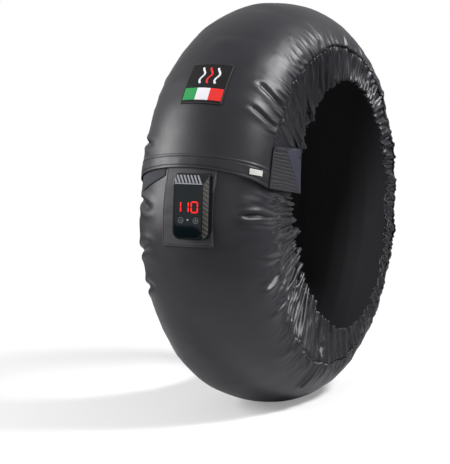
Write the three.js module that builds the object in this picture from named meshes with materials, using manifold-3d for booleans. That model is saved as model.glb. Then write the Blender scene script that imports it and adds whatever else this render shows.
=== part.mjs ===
// Motorcycle tyre warmer in its worn ring form. A padded, electrically heated blanket closes
// round the tread, a gathered skirt hangs down each side to an elastic edge, and a controller
// sits on a flap at the front. Millimetres. The wheel's axle line runs along Y, +Z is up, and
// the origin is on the floor at the middle of the small flat spot that the ring stands on.
//
// Places on the ring are given by two angles in degrees. The turn goes round the axle line,
// from 0 at the front (-X) over the top (90) and the rear (180) to the floor (270) and on to
// the closing overlap past 360. The lean goes across the crown, from -Y to +Y.
import * as THREE from 'three';
import { mergeVertices } from 'three/addons/utils/BufferGeometryUtils.js';
import Module from 'manifold-3d';

const wasm = await Module();
wasm.setup();

// Ring
const outerRadius = 335;
const coverWidth = 215;
const crownDepth = 76;
const floorSag = 4;
const turnStep = 6;
const leanStep = 19;
const leanEdge = 85.5;
const seamAcross = 90;
const clearance = 0.3;

// Layers, from the outside in
const coverThickness = 1.2;
const padThickness = 6;
const heaterThickness = 1;
const liningThickness = 1;
const padEdge = 66.5;

// Closing overlap
const hemTurn = 13.5;
const hemFoldTurn = 16.7;
const hemFoldStep = 0.2;
const hemFoldThickness = 0.6;
const hemDroop = 3.5;
const droopEnd = 18;
const upperEnd = 24;
const lowerEnd = 382;
const dipStart = 354;
const dipEnd = 372;
const stripThickness = 1;
const hookTurns = [14.5, 20];
const nearLoopTurns = [374, 380.5];
const farLoopTurns = [369.5, 380.5];
const nearStripLeans = [-76, -31];
const farStripLeans = [19, 76];

// Skirts
const skirtThickness = 1;
const seamRadius = 262;
const seamPull = 42;
const seamPullTurns = [295, 350];
const seamGap = 0.7;
const sideFall = 12.5;
const sideSpan = 109;
const openingRear = 51;
const openingDrop = 4;
const openingHalfWidth = 185;
const openingHalfHeight = 212;
const openingTilt = 11;
const skirtHemWidth = 9;
const skirtHemDepth = 4;
const gatherStep = 3;
const gatherHeight = 2.4;
const gatherUneven = [1.1, 0.7];
const gatherRates = [1.7, 0.61];
const gatherStart = [42, 54];
const gatherEnd = [355, 366];
const elasticWidth = 5;

// Side tabs at the ends of the hem: corners as distances ahead of and above the axle line
const tabCorners = [[1, 46.5], [159, 26], [141, 99], [17, 108]];
const tabLift = 1.2;
const tabThickness = 1.2;

// Heating ribbon
const ribbonLanes = [-38, 0, 38];
const ribbonLean = 6;
const ribbonStart = 27;
const ribbonEnd = 377;
const ribbonTurnBack = 3;

const probeTurns = [30, 33];
const probeLeans = [17, 21];
const probeThickness = 1;

// Badge, label and flap
const badgeTurns = [31.2, 43.7];
const badgeLeans = [-21.5, 14.5];
const badgeThickness = 1.2;
const badgeBorder = 0.8;
const fieldTopTurn = 35.7;
const fieldThickness = 0.4;
const fieldGap = 0.2;
const labelTurns = [13.2, 14.9];
const labelLeans = [-74, -58];
const labelThickness = 0.5;
const flapTurns = [353, 376];
const flapLeans = [-29.3, 17.5];
const flapThickness = 1.6;
const flapFlatness = 0.75;
const flapFlatEnd = [366, 372];

// Controller casing
const casingTurn = 3.5;
const casingLean = -12.6;
const casingYaw = 2.8;
const casingWidth = 57;
const casingHeight = 99;
const casingDepth = 18;
const backDepth = 7;
const casingWall = 1.8;
const topCorner = 6;
const bottomCorner = 13;
const topChamfer = [16.5, 5];
const sideChamfer = [8.5, 4];
const frontWall = 2.4;
const cornerMargin = 2.5;
const windowThickness = 0.9;
const windowMargin = 2.2;
const buttonRadius = 4.8;
const buttonFlange = 1.2;
const keySides = 16;
const buttonPlaces = [[-15.3, -20.7], [9.3, -20.7]];
const buttonTravel = 0.6;
const statusPlace = [-3.7, -19.8];
const statusRadius = 1.3;
const digitHeight = 17.5;
const digitWidth = 12.2;
const digitStroke = 2.2;
const digitMiddle = -0.7;
const digitPlaces = [-15.6, -3, 0.8];
const printGap = 0.1;
const printThickness = 0.4;
const boardThickness = 1.6;
const boardGap = 0.5;
const boardReach = 37;
const displayRoom = [[-18, 16], [-11, 10]];
const switchWidth = 6;
const switchDrop = 3.6;
const screwPlaces = [[-20, -42], [20, -42], [-20, 42], [20, 42]];
const screwRadius = 1.2;
const headRadius = 2.4;
const headHeight = 1.7;
const screwTip = 10.2;
const bossRadius = 3.2;
const lowCeiling = 11;
const leadLean = -3;
const leadRadius = 2.4;
const grommetWall = 1.4;
const grommetFlange = 1.5;
const grommetFlangeDepth = 1;
const barCount = 7;
const barStart = -22;
const barPitch = 6;
const barWidth = 2.4;
const barLean = 4;
const barMargin = 2;
const barHeight = 0.5;
const rodSides = 8;
const grommetSides = 12;

// How far cutting tools run past a face, and how far joined solids bite into each other
const cutPast = 1;
const bite = 0.5;

const axleHeight = outerRadius - floorSag;
const crownRadius = outerRadius - crownDepth;
const padDepth = coverThickness + clearance;
const heaterDepth = padDepth + padThickness + clearance;
const liningDepth = heaterDepth + heaterThickness + clearance;
const dipDepth = coverThickness + 2 * stripThickness + 3 * clearance;
const topEdge = casingHeight / 2;
const rightEdge = casingWidth / 2;
const faceTop = topEdge - topChamfer[0];
const faceRight = rightEdge - sideChamfer[0];
const frontInside = casingDepth - frontWall;
const highRoom = [
  [-rightEdge + casingWall + cornerMargin, faceRight - cornerMargin],
  [-topEdge + casingWall + 3 * cornerMargin, faceTop - cornerMargin],
];
const buttonHole = buttonRadius + clearance;
const switchFront = frontInside - switchDrop;
const screwHole = screwRadius + clearance;
const screwHead = clearance + headHeight;
const leadHole = leadRadius + grommetWall + 2 * clearance;
const capBow = 0.01;
const fullTurn = 360;
const radians = THREE.MathUtils.degToRad;

// Finishes
const nylon = new THREE.MeshStandardMaterial({ color: 0x35353b, roughness: 0.55, metalness: 0 });
const skirtNylon = new THREE.MeshStandardMaterial({ color: 0x2f2f35, roughness: 0.5, metalness: 0 });
const flapNylon = new THREE.MeshStandardMaterial({ color: 0x4a494d, roughness: 0.7, metalness: 0 });
const wadding = new THREE.MeshStandardMaterial({ color: 0xb9b4a6, roughness: 0.95, metalness: 0 });
const carbonRibbon = new THREE.MeshStandardMaterial({ color: 0x1b1b1b, roughness: 0.6, metalness: 0.2 });
const aramid = new THREE.MeshStandardMaterial({ color: 0x2c2b2e, roughness: 0.85, metalness: 0 });
const elastic = new THREE.MeshStandardMaterial({ color: 0x17171a, roughness: 0.8, metalness: 0 });
const touchTape = new THREE.MeshStandardMaterial({ color: 0x26262a, roughness: 0.95, metalness: 0 });
const badgeCloth = new THREE.MeshStandardMaterial({ color: 0x141416, roughness: 0.8, metalness: 0 });
const greenThread = new THREE.MeshStandardMaterial({ color: 0x109a4f, roughness: 0.7, metalness: 0 });
const whiteThread = new THREE.MeshStandardMaterial({ color: 0xf0eef2, roughness: 0.7, metalness: 0 });
const redThread = new THREE.MeshStandardMaterial({ color: 0xe8201a, roughness: 0.7, metalness: 0 });
const labelTape = new THREE.MeshStandardMaterial({ color: 0xd8d8d0, roughness: 0.6, metalness: 0 });
const glossBlack = new THREE.MeshStandardMaterial({ color: 0x0c1416, roughness: 0.2, metalness: 0 });
const windowBlack = new THREE.MeshStandardMaterial({ color: 0x0a1214, roughness: 0.08, metalness: 0 });
const litRed = new THREE.MeshStandardMaterial({ color: 0xe0201a, roughness: 0.4, metalness: 0 });
const lampGrey = new THREE.MeshStandardMaterial({ color: 0x8b9196, roughness: 0.3, metalness: 0 });
const keyGrey = new THREE.MeshStandardMaterial({ color: 0x2a3134, roughness: 0.4, metalness: 0 });
const boardGreen = new THREE.MeshStandardMaterial({ color: 0x1d5a34, roughness: 0.6, metalness: 0 });
const steel = new THREE.MeshStandardMaterial({ color: 0x9a9a9c, roughness: 0.35, metalness: 1 });
const leadRubber = new THREE.MeshStandardMaterial({ color: 0x101010, roughness: 0.7, metalness: 0 });

const warmer = new THREE.Group();

function add(parent, name, geometry, material) {
  const mesh = new THREE.Mesh(geometry, material);
  mesh.name = name;
  parent.add(mesh);
}

// Closed body from points and triangles, turned so that every face points out.
function closedBody(points, faces) {
  let volume = 0;
  for (const [a, b, c] of faces) {
    volume += points[a].dot(new THREE.Vector3().crossVectors(points[b], points[c]));
  }
  const turned = volume < 0 ? faces.map(([a, b, c]) => [a, c, b]) : faces;
  const geometry = new THREE.BufferGeometry().setFromPoints(points);
  geometry.setIndex(turned.flat());
  geometry.computeVertexNormals();
  return geometry;
}

// Solid through a row of like outlines. The outline lists [across, depth] pairs anticlockwise,
// and place(station, across, depth) says where each pair lies at each station. Both sides of
// a sheet are split along like diagonals, so that it keeps its thickness where it is twisted.
// The caps are split on a bowed copy, because points in one straight line would be skipped.
function loft(stations, outline, place) {
  const count = outline.length;
  const points = [];
  for (const station of stations) {
    for (const [across, depth] of outline) {
      points.push(place(station, across, depth));
    }
  }
  const faces = [];
  for (let row = 0; row + 1 < stations.length; row += 1) {
    for (let i = 0; i < count; i += 1) {
      const next = (i + 1) % count;
      const a = row * count + i;
      const b = row * count + next;
      if (outline[next][0] < outline[i][0]) {
        faces.push([a, b, a + count], [b, b + count, a + count]);
      } else {
        faces.push([a, b, b + count], [a, b + count, a + count]);
      }
    }
  }
  const last = (stations.length - 1) * count;
  const section = outline.map(([across, depth]) => new THREE.Vector2(across, depth + capBow * across ** 2));
  for (const [a, b, c] of THREE.ShapeUtils.triangulateShape(section, [])) {
    faces.push([a, c, b], [last + a, last + b, last + c]);
  }
  return closedBody(points, faces);
}

// Values from one end to the other, with every fold line of the given spacing in between.
function linesBetween(from, to, spacing, origin) {
  const lines = [from];
  let line = origin + Math.ceil((from - origin + 0.01) / spacing) * spacing;
  while (line < to - 0.01) {
    lines.push(line);
    line += spacing;
  }
  lines.push(to);
  return lines;
}

function turnsBetween(from, to) {
  return linesBetween(from, to, turnStep, 0);
}

function leansBetween(from, to) {
  return linesBetween(from, to, leanStep, -leanEdge);
}

// Outline of a sheet that lies between two depths; depth grows inwards.
function sheetOutline(acrossLines, outer, inner) {
  const back = [...acrossLines].reverse();
  return [...acrossLines.map((a) => [a, outer]), ...back.map((a) => [a, inner])];
}

// The same body with its shared corners merged and no empty triangles.
function welded(geometry) {
  const plain = geometry.clone();
  plain.deleteAttribute('normal');
  plain.deleteAttribute('uv');
  const merged = mergeVertices(plain, 1e-4);
  const corners = merged.attributes.position;
  const points = [];
  for (let i = 0; i < corners.count; i += 1) {
    points.push(new THREE.Vector3().fromBufferAttribute(corners, i));
  }
  const faces = [];
  for (let i = 0; i < merged.index.count; i += 3) {
    const [a, b, c] = merged.index.array.slice(i, i + 3);
    if (a !== b && b !== c && c !== a) faces.push([a, b, c]);
  }
  return closedBody(points, faces);
}

function solid(geometry) {
  const whole = welded(geometry);
  const vertProperties = new Float32Array(whole.attributes.position.array);
  const triVerts = new Uint32Array(whole.index.array);
  return new wasm.Manifold(new wasm.Mesh({ numProp: 3, vertProperties, triVerts }));
}

function geometryOf(body) {
  const mesh = body.getMesh();
  const geometry = new THREE.BufferGeometry();
  geometry.setAttribute('position', new THREE.BufferAttribute(mesh.vertProperties, 3));
  geometry.setIndex(new THREE.BufferAttribute(mesh.triVerts, 1));
  geometry.computeVertexNormals();
  return geometry;
}

function join(geometries) {
  return geometryOf(geometries.map(solid).reduce((all, next) => all.add(next)));
}

function cut(geometry, tools) {
  return geometryOf(tools.map(solid).reduce((rest, tool) => rest.subtract(tool), solid(geometry)));
}

// The ring's surface at a crossing of fold lines, kept off the floor by its own depth.
function crossing(turn, lean, depth) {
  const radius = crownRadius + (crownDepth - depth) * Math.cos(radians(lean));
  const height = axleHeight + radius * Math.sin(radians(turn));
  return new THREE.Vector3(
    -radius * Math.cos(radians(turn)),
    (coverWidth / 2 - depth) * Math.sin(radians(lean)),
    Math.max(height, depth),
  );
}

// A point on the flats between the fold lines, so that every layer bends in the same places.
function onRing(turn, lean, depth) {
  const turnLine = Math.floor(turn / turnStep + 1e-6) * turnStep;
  const lastLean = leanEdge - leanStep;
  const leanLine = Math.min(Math.floor((lean + leanEdge) / leanStep + 1e-6) * leanStep - leanEdge, lastLean);
  const round = (turn - turnLine) / turnStep;
  const over = (lean - leanLine) / leanStep;
  const [near, far] = [leanLine, leanLine + leanStep].map((line) => (
    crossing(turnLine, line, depth).lerp(crossing(turnLine + turnStep, line, depth), round)
  ));
  return near.lerp(far, over);
}

// The lower end sinks by the depth of the closing strips to pass under the upper end.
function dip(turn) {
  return dipDepth * THREE.MathUtils.clamp((turn - dipStart) / (dipEnd - dipStart), 0, 1);
}

function onBlanket(turn, lean, depth) {
  return onRing(turn, lean, depth + dip(turn));
}

// Side surface inwards of the widest point, as half the width at a radius.
function sideHalfWidth(radius) {
  const inward = Math.max(0, (crownRadius - radius) / sideSpan);
  return coverWidth / 2 - sideFall * inward ** 1.5;
}

function smooth(from, to, value) {
  return THREE.MathUtils.smoothstep(value, from, to);
}

// The seam between tread panel and skirt is drawn in towards the axle at the lower front.
function seamAt(turn) {
  return seamRadius - seamPull * smooth(...seamPullTurns, turn);
}

// Distance from the axle line to the edge of the opening, an ellipse set back from the axle.
function openingAt(turn) {
  const tilt = radians(openingTilt);
  const along = new THREE.Vector2(-Math.cos(radians(turn)), Math.sin(radians(turn)));
  const centre = new THREE.Vector2(openingRear, -openingDrop);
  const origin = new THREE.Vector2();
  const ray = along.clone().rotateAround(origin, -tilt);
  const back = centre.clone().rotateAround(origin, -tilt);
  ray.divide(new THREE.Vector2(openingHalfWidth, openingHalfHeight));
  back.divide(new THREE.Vector2(openingHalfWidth, openingHalfHeight));
  const a = ray.dot(ray);
  const b = ray.dot(back);
  return (b + Math.sqrt(b * b - a * (back.dot(back) - 1))) / a;
}

function onSide(side, turn, radius, halfWidth) {
  const angle = radians(turn);
  const height = axleHeight + radius * Math.sin(angle);
  return new THREE.Vector3(-radius * Math.cos(angle), side * halfWidth, height);
}

// Tread panel: crown and shoulders, then a flank down to the seam. The upper end is folded
// back into a hem that droops towards both sides.
function onCover(turn, across, depth) {
  const foldedDepth = depth === 0 && turn <= hemFoldTurn ? -hemFoldThickness : depth;
  if (Math.abs(across) > leanEdge) {
    const seam = seamAt(turn);
    return onSide(Math.sign(across), turn, seam, sideHalfWidth(seam) - foldedDepth - dip(turn));
  }
  const fade = THREE.MathUtils.clamp((droopEnd - turn) / (droopEnd - hemTurn), 0, 1);
  const droop = hemDroop * (across / leanEdge) ** 2;
  return onBlanket(turn - fade * droop, across, foldedDepth);
}

function treadPanel() {
  const leans = [-seamAcross, ...leansBetween(-leanEdge, leanEdge), seamAcross];
  const pastHem = Math.ceil(hemFoldTurn / turnStep) * turnStep;
  const turns = [hemTurn, hemFoldTurn, hemFoldTurn + hemFoldStep, ...turnsBetween(pastHem, lowerEnd)];
  return loft(turns, sheetOutline(leans, 0, coverThickness), onCover);
}

function layer(edge, outer, inner) {
  const outline = sheetOutline(leansBetween(-edge, edge), outer, inner);
  return loft(turnsBetween(upperEnd, lowerEnd), outline, onRing);
}

// The wadding is pressed thinner where the lower end sinks.
function pad() {
  const place = (turn, lean, depth) => onRing(turn, lean, depth === padDepth ? depth + dip(turn) : depth);
  const outline = sheetOutline(leansBetween(-padEdge, padEdge), padDepth, padDepth + padThickness);
  return loft(turnsBetween(upperEnd, lowerEnd), outline, place);
}

// Sewn patch that lies on the cover, or under it with a negative lift.
function patch([fromTurn, toTurn], [fromLean, toLean], lift, thickness, place = onBlanket) {
  const outline = sheetOutline(leansBetween(fromLean, toLean), -lift - thickness, -lift);
  return loft(turnsBetween(fromTurn, toTurn), outline, place);
}

// The stiffened flap stands nearly flat, so its sides leave the crown's curve below the hem.
function onFlap(turn, lean, depth) {
  const spot = onBlanket(turn, lean, depth);
  const flatness = flapFlatness * (1 - smooth(...flapFlatEnd, turn));
  spot.x += flatness * (onBlanket(turn, 0, depth).x - spot.x);
  return spot;
}

// One flat ribbon laid up and down the blanket in lanes that join at their ends.
function heatingRibbon() {
  const depth = -heaterDepth - heaterThickness;
  const pieces = ribbonLanes.map((lane) => (
    patch([ribbonStart, ribbonEnd], [lane - ribbonLean, lane + ribbonLean], depth, heaterThickness, onRing)
  ));
  ribbonLanes.slice(1).forEach((lane, index) => {
    const leans = [ribbonLanes[index] + ribbonLean - bite, lane - ribbonLean + bite];
    const atStart = [ribbonStart, ribbonStart + ribbonTurnBack];
    const atEnd = [ribbonEnd - ribbonTurnBack, ribbonEnd];
    const turns = index % 2 ? atStart : atEnd;
    pieces.push(patch(turns, leans, depth, heaterThickness, onRing));
  });
  return join(pieces);
}

// Probe that lies beside the middle lane of the ribbon
function temperatureProbe() {
  return patch(probeTurns, probeLeans, -heaterDepth - probeThickness, probeThickness, onRing);
}

// Gathers stand in and out in turn, uneven in height, and lie flat under the side tabs.
function gather(turn, fullness) {
  const count = Math.round(turn / gatherStep);
  const uneven = gatherUneven.map((size, i) => size * Math.sin(gatherRates[i] * count + i));
  const height = gatherHeight + uneven[0] + uneven[1];
  const away = smooth(...gatherStart, turn) * (1 - smooth(...gatherEnd, turn));
  return (count % 2 ? -1 : 1) * height * fullness * away;
}

// Across runs from -1 at the seam to 0 at the hem, then in millimetres to the opening's edge.
function onSkirt(side) {
  return (turn, across, depth) => {
    const edge = openingAt(turn);
    const hem = edge + skirtHemWidth;
    const radius = across > 0 ? hem - across : hem - across * (seamAt(turn) - seamGap - hem);
    const fullness = across > 0 ? 1 : 1 + across;
    const halfWidth = sideHalfWidth(radius) - depth - dip(turn) + gather(turn, fullness);
    return onSide(side, turn, radius, halfWidth);
  };
}

function skirtTurns() {
  return linesBetween(upperEnd, lowerEnd, gatherStep, 0);
}

// Skirt sheet whose inner edge is folded back into a channel for the elastic.
function skirt(side) {
  const sheet = skirtThickness;
  const outline = [
    [-1, 0], [0, 0], [skirtHemWidth, 0], [skirtHemWidth, skirtHemDepth],
    [sheet, skirtHemDepth], [sheet, skirtHemDepth - sheet],
    [skirtHemWidth - sheet, skirtHemDepth - sheet], [skirtHemWidth - sheet, sheet],
    [0, sheet], [-1, sheet],
  ];
  return loft(skirtTurns(), outline, onSkirt(side));
}

function elasticBand(side) {
  const start = (skirtHemWidth - elasticWidth) / 2;
  const outer = skirtThickness + clearance;
  const inner = skirtHemDepth - skirtThickness - clearance;
  return loft(skirtTurns(), sheetOutline([start, start + elasticWidth], outer, inner), onSkirt(side));
}

// Reinforced tab that carries the hem on over the skirt and anchors the elastic.
function sideTab(side) {
  const [lowOuter, lowInner, highInner, highOuter] = tabCorners.map(([inward, height]) => (
    new THREE.Vector2(crownRadius - inward, height)
  ));
  const place = (up, inward, depth) => {
    const low = lowOuter.clone().lerp(lowInner, inward);
    const high = highOuter.clone().lerp(highInner, inward);
    const spot = low.lerp(high, up);
    const halfWidth = sideHalfWidth(spot.length()) + tabLift + tabThickness - depth;
    return new THREE.Vector3(-spot.x, side * halfWidth, axleHeight + spot.y);
  };
  const inwards = [0, 0.25, 0.5, 0.75, 1];
  return loft([0, 0.5, 1], sheetOutline(inwards, 0, tabThickness), place);
}

// Casing outline, drawn in by an inset
function casingOutline(inset) {
  const w = casingWidth / 2 - inset;
  const h = casingHeight / 2 - inset;
  const top = topCorner - inset;
  const bottom = bottomCorner - inset;
  const shape = new THREE.Shape();
  shape.moveTo(-w + bottom, -h);
  shape.absarc(w - bottom, -h + bottom, bottom, -Math.PI / 2, 0);
  shape.absarc(w - top, h - top, top, 0, Math.PI / 2);
  shape.absarc(-w + top, h - top, top, Math.PI / 2, Math.PI);
  shape.absarc(-w + bottom, -h + bottom, bottom, Math.PI, 1.5 * Math.PI);
  return shape;
}

function plate(shape, from, to) {
  const settings = { depth: to - from, bevelEnabled: false, curveSegments: 3 };
  return new THREE.ExtrudeGeometry(shape, settings).translate(0, 0, from);
}

function block(x, y, z) {
  const [width, height, depth] = [x, y, z].map(([low, high]) => high - low);
  const middle = [x, y, z].map(([low, high]) => (low + high) / 2);
  return new THREE.BoxGeometry(width, height, depth).translate(...middle);
}

// Round body about a line along the casing's outward axis; the profile lists [radius, height].
function turnedBody(profile, [x, y], segments) {
  const points = profile.map(([radius, height]) => new THREE.Vector2(radius, height));
  return welded(new THREE.LatheGeometry(points, segments).rotateX(Math.PI / 2).translate(x, y, 0));
}

function rod(radius, from, to, place, segments = rodSides) {
  return turnedBody([[0, from], [radius, from], [radius, to], [0, to]], place, segments);
}

// Gloss panel: square at the top, rounded at the bottom with the casing.
function windowShape(inset) {
  const left = -rightEdge + windowMargin + inset;
  const right = faceRight - windowMargin / 2 - inset;
  const bottom = -topEdge + windowMargin + inset;
  const top = faceTop - windowMargin / 2 - inset;
  const corner = bottomCorner - windowMargin - inset;
  const shape = new THREE.Shape();
  shape.moveTo(left + corner, bottom);
  shape.absarc(right - corner, bottom + corner, corner, -Math.PI / 2, 0);
  shape.lineTo(right, top);
  shape.lineTo(left, top);
  shape.absarc(left + corner, bottom + corner, corner, Math.PI, 1.5 * Math.PI);
  return shape;
}

// What is planed off along one edge of the face; place turns [run, height] into a point.
function planedEdge(start, [run, fall], length, place) {
  const past = run + cutPast;
  const outline = [
    [start, casingDepth + cutPast], [start, casingDepth],
    [start + past, casingDepth - (fall * past) / run], [start + past, casingDepth + cutPast],
  ];
  return loft([-length, length], outline, place);
}

// Raised diagonal bars on the sloping top of the face.
function topBars() {
  const slope = Math.atan(topChamfer[1] / topChamfer[0]);
  const reach = topChamfer[0] / Math.cos(slope) - barMargin;
  const bars = [];
  for (let index = 0; index < barCount; index += 1) {
    const x = barStart + index * barPitch;
    const shape = new THREE.Shape();
    shape.moveTo(x, barMargin);
    shape.lineTo(x + barWidth, barMargin);
    shape.lineTo(x + barWidth - barLean, reach);
    shape.lineTo(x - barLean, reach);
    const bar = plate(shape, -barHeight, barHeight);
    bars.push(bar.rotateX(-slope).translate(0, faceTop, casingDepth));
  }
  return bars;
}

function frontShell() {
  const outer = plate(casingOutline(0), backDepth + clearance, casingDepth);
  const top = planedEdge(faceTop, topChamfer, casingWidth, (x, y, z) => new THREE.Vector3(x, y, z));
  const side = planedEdge(faceRight, sideChamfer, casingHeight, (y, x, z) => new THREE.Vector3(x, y, z));
  const lowCavity = plate(casingOutline(casingWall), backDepth - cutPast, lowCeiling);
  const highCavity = block(highRoom[0], highRoom[1], [lowCeiling - cutPast, frontInside]);
  const recess = plate(windowShape(0), casingDepth - windowThickness - clearance, casingDepth + cutPast);
  const keyHoles = buttonPlaces.map((place) => (
    rod(buttonHole, frontInside - cutPast, casingDepth, place, keySides)
  ));
  const planed = cut(outer, [top, side, lowCavity, highCavity, recess, ...keyHoles]);
  const bosses = screwPlaces.map((place) => rod(bossRadius, backDepth + clearance, lowCeiling + bite, place));
  const screwHoles = screwPlaces.map((place) => rod(screwHole, backDepth, screwTip + clearance, place));
  return cut(join([planed, ...topBars(), ...bosses]), screwHoles);
}

function backShell() {
  const outer = plate(casingOutline(0), 0, backDepth);
  const inside = plate(casingOutline(casingWall), casingWall, backDepth + cutPast);
  const posts = screwPlaces.map((place) => rod(bossRadius, casingWall - bite, backDepth, place));
  const holes = screwPlaces.map((place) => rod(screwHole, -cutPast, backDepth + cutPast, place));
  const headRoom = screwPlaces.map((place) => (
    rod(headRadius + clearance, -cutPast, screwHead + clearance, place)
  ));
  const leadRoom = rod(leadHole, -cutPast, casingWall + cutPast, leadPlace);
  return cut(join([cut(outer, [inside]), ...posts]), [...holes, ...headRoom, leadRoom]);
}

function displayWindow() {
  const panel = plate(windowShape(clearance), casingDepth - windowThickness, casingDepth);
  const back = casingDepth - windowThickness - cutPast;
  return cut(panel, buttonPlaces.map((place) => (
    rod(buttonHole, back, casingDepth + cutPast, place, keySides)
  )));
}

// Key with a flange that keeps it behind the front wall
function key(place) {
  const flangeTop = frontInside - clearance;
  const keyBack = switchFront + buttonTravel + clearance;
  return turnedBody([
    [0, keyBack], [buttonRadius + buttonFlange, keyBack],
    [buttonRadius + buttonFlange, flangeTop], [buttonRadius, flangeTop],
    [buttonRadius, casingDepth], [0, casingDepth],
  ], place, keySides);
}

// Circuit board with the display block and a switch under each key
function circuitBoard() {
  const back = backDepth + clearance;
  const front = back + boardThickness;
  const half = switchWidth / 2;
  const x = rightEdge - casingWall - boardGap;
  const sheet = block([-x, x], [-boardReach, boardReach], [back, front]);
  const display = block(displayRoom[0], displayRoom[1], [front - bite, frontInside - clearance]);
  const switches = buttonPlaces.map(([kx, ky]) => (
    block([kx - half, kx + half], [ky - half, ky + half], [front - bite, switchFront])
  ));
  return join([sheet, display, ...switches]);
}

function printFace() {
  return [casingDepth + printGap, casingDepth + printGap + printThickness];
}

function digitOne(x) {
  const half = digitHeight / 2;
  const y = [digitMiddle - half, digitMiddle + half];
  return block([x - digitStroke / 2, x + digitStroke / 2], y, printFace());
}

function digitZero(x) {
  const half = digitHeight / 2;
  const y = [digitMiddle - half, digitMiddle + half];
  const ring = block([x, x + digitWidth], y, printFace());
  const [low, high] = printFace();
  const hollowX = [x + digitStroke, x + digitWidth - digitStroke];
  const hollowY = [y[0] + digitStroke, y[1] - digitStroke];
  return cut(ring, [block(hollowX, hollowY, [low - cutPast, high + cutPast])]);
}

function screw(place) {
  return turnedBody([
    [0, clearance], [headRadius, clearance], [headRadius, screwHead],
    [screwRadius, screwHead], [screwRadius, screwTip], [0, screwTip],
  ], place, rodSides);
}

// Tube that lines the way through the casing, flap and cover, with a flange in the casing
function grommet(reach) {
  const inner = leadRadius + clearance;
  const outer = inner + grommetWall;
  const flangeBack = casingWall + clearance;
  const flangeFront = flangeBack + grommetFlangeDepth;
  return turnedBody([
    [inner, reach], [outer, reach], [outer, flangeBack], [outer + grommetFlange, flangeBack],
    [outer + grommetFlange, flangeFront], [inner, flangeFront], [inner, reach],
  ], leadPlace, grommetSides);
}

// The casing's outward direction, square to the crown at its own place
function casingOutward() {
  const yaw = radians(casingYaw);
  const flat = new THREE.Vector3(-Math.cos(yaw), -Math.sin(yaw), 0);
  return flat.applyAxisAngle(new THREE.Vector3(0, 1, 0), radians(casingTurn));
}

// Group whose Z is the casing's outward direction and whose XY plane is the casing's back,
// resting on the highest fold of the flap.
function casingGroup(flap) {
  const outward = casingOutward();
  const up = new THREE.Vector3(Math.sin(radians(casingTurn)), 0, Math.cos(radians(casingTurn)));
  const across = new THREE.Vector3().crossVectors(up, outward);
  const corners = flap.attributes.position;
  let highest = -Infinity;
  for (let i = 0; i < corners.count; i += 1) {
    highest = Math.max(highest, new THREE.Vector3().fromBufferAttribute(corners, i).dot(outward));
  }
  const group = new THREE.Group();
  const spot = onRing(casingTurn, casingLean, 0);
  group.quaternion.setFromRotationMatrix(new THREE.Matrix4().makeBasis(across, up, outward));
  group.position.copy(spot).addScaledVector(outward, highest + clearance - spot.dot(outward));
  group.updateMatrix();
  return group;
}

const flapSheet = patch(flapTurns, flapLeans, clearance, flapThickness, onFlap);
const casing = casingGroup(flapSheet);
casing.updateMatrixWorld();

// The lead goes straight in from the casing to the ribbon's middle lane.
const leadSpot = casing.worldToLocal(onRing(casingTurn, leadLean, heaterDepth));
const leadPlace = [leadSpot.x, leadSpot.y];
const ribbonTop = leadSpot.z;
const overlapTurn = fullTurn + casingTurn;
const coverBack = casing.worldToLocal(onBlanket(overlapTurn, leadLean, coverThickness)).z;
const leadWay = rod(leadHole, ribbonTop - padThickness, cutPast, leadPlace).applyMatrix4(casing.matrix);

add(warmer, 'outer_cover', cut(treadPanel(), [leadWay]), nylon);
add(warmer, 'insulation_pad', cut(pad(), [leadWay]), wadding);
add(warmer, 'heating_element', heatingRibbon(), carbonRibbon);
add(warmer, 'temperature_probe', temperatureProbe(), steel);
add(warmer, 'inner_lining', layer(padEdge, liningDepth, liningDepth + liningThickness), aramid);

for (const [word, side] of [['near', -1], ['far', 1]]) {
  add(warmer, `${word}_skirt`, skirt(side), skirtNylon);
  add(warmer, `${word}_elastic`, elasticBand(side), elastic);
  add(warmer, `${word}_side_tab`, sideTab(side), flapNylon);
}

const hookLift = -(padDepth + stripThickness);
add(warmer, 'near_hook_strip', patch(hookTurns, nearStripLeans, hookLift, stripThickness, onRing), touchTape);
add(warmer, 'far_hook_strip', patch(hookTurns, farStripLeans, hookLift, stripThickness, onRing), touchTape);
add(warmer, 'near_loop_strip', patch(nearLoopTurns, nearStripLeans, clearance, stripThickness), touchTape);
add(warmer, 'far_loop_strip', patch(farLoopTurns, farStripLeans, clearance, stripThickness), touchTape);

add(warmer, 'control_flap', cut(flapSheet, [leadWay]), flapNylon);

const labelLift = hemFoldThickness + clearance;
add(warmer, 'care_label', patch(labelTurns, labelLeans, labelLift, labelThickness, onRing), labelTape);

// The badge has a black field above three upright colour fields.
const fieldTurns = [badgeTurns[0] + badgeBorder, fieldTopTurn];
const fieldSpan = (badgeLeans[1] - badgeLeans[0] - 2 * badgeBorder) / 3;
add(warmer, 'badge_backing', patch(badgeTurns, badgeLeans, clearance, badgeThickness), badgeCloth);
[['red', redThread], ['white', whiteThread], ['green', greenThread]].forEach(([word, material], index) => {
  const start = badgeLeans[0] + badgeBorder + index * fieldSpan;
  const leans = [start, start + fieldSpan - fieldGap];
  const lift = 2 * clearance + badgeThickness;
  add(warmer, `badge_${word}_field`, patch(fieldTurns, leans, lift, fieldThickness), material);
});

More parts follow.
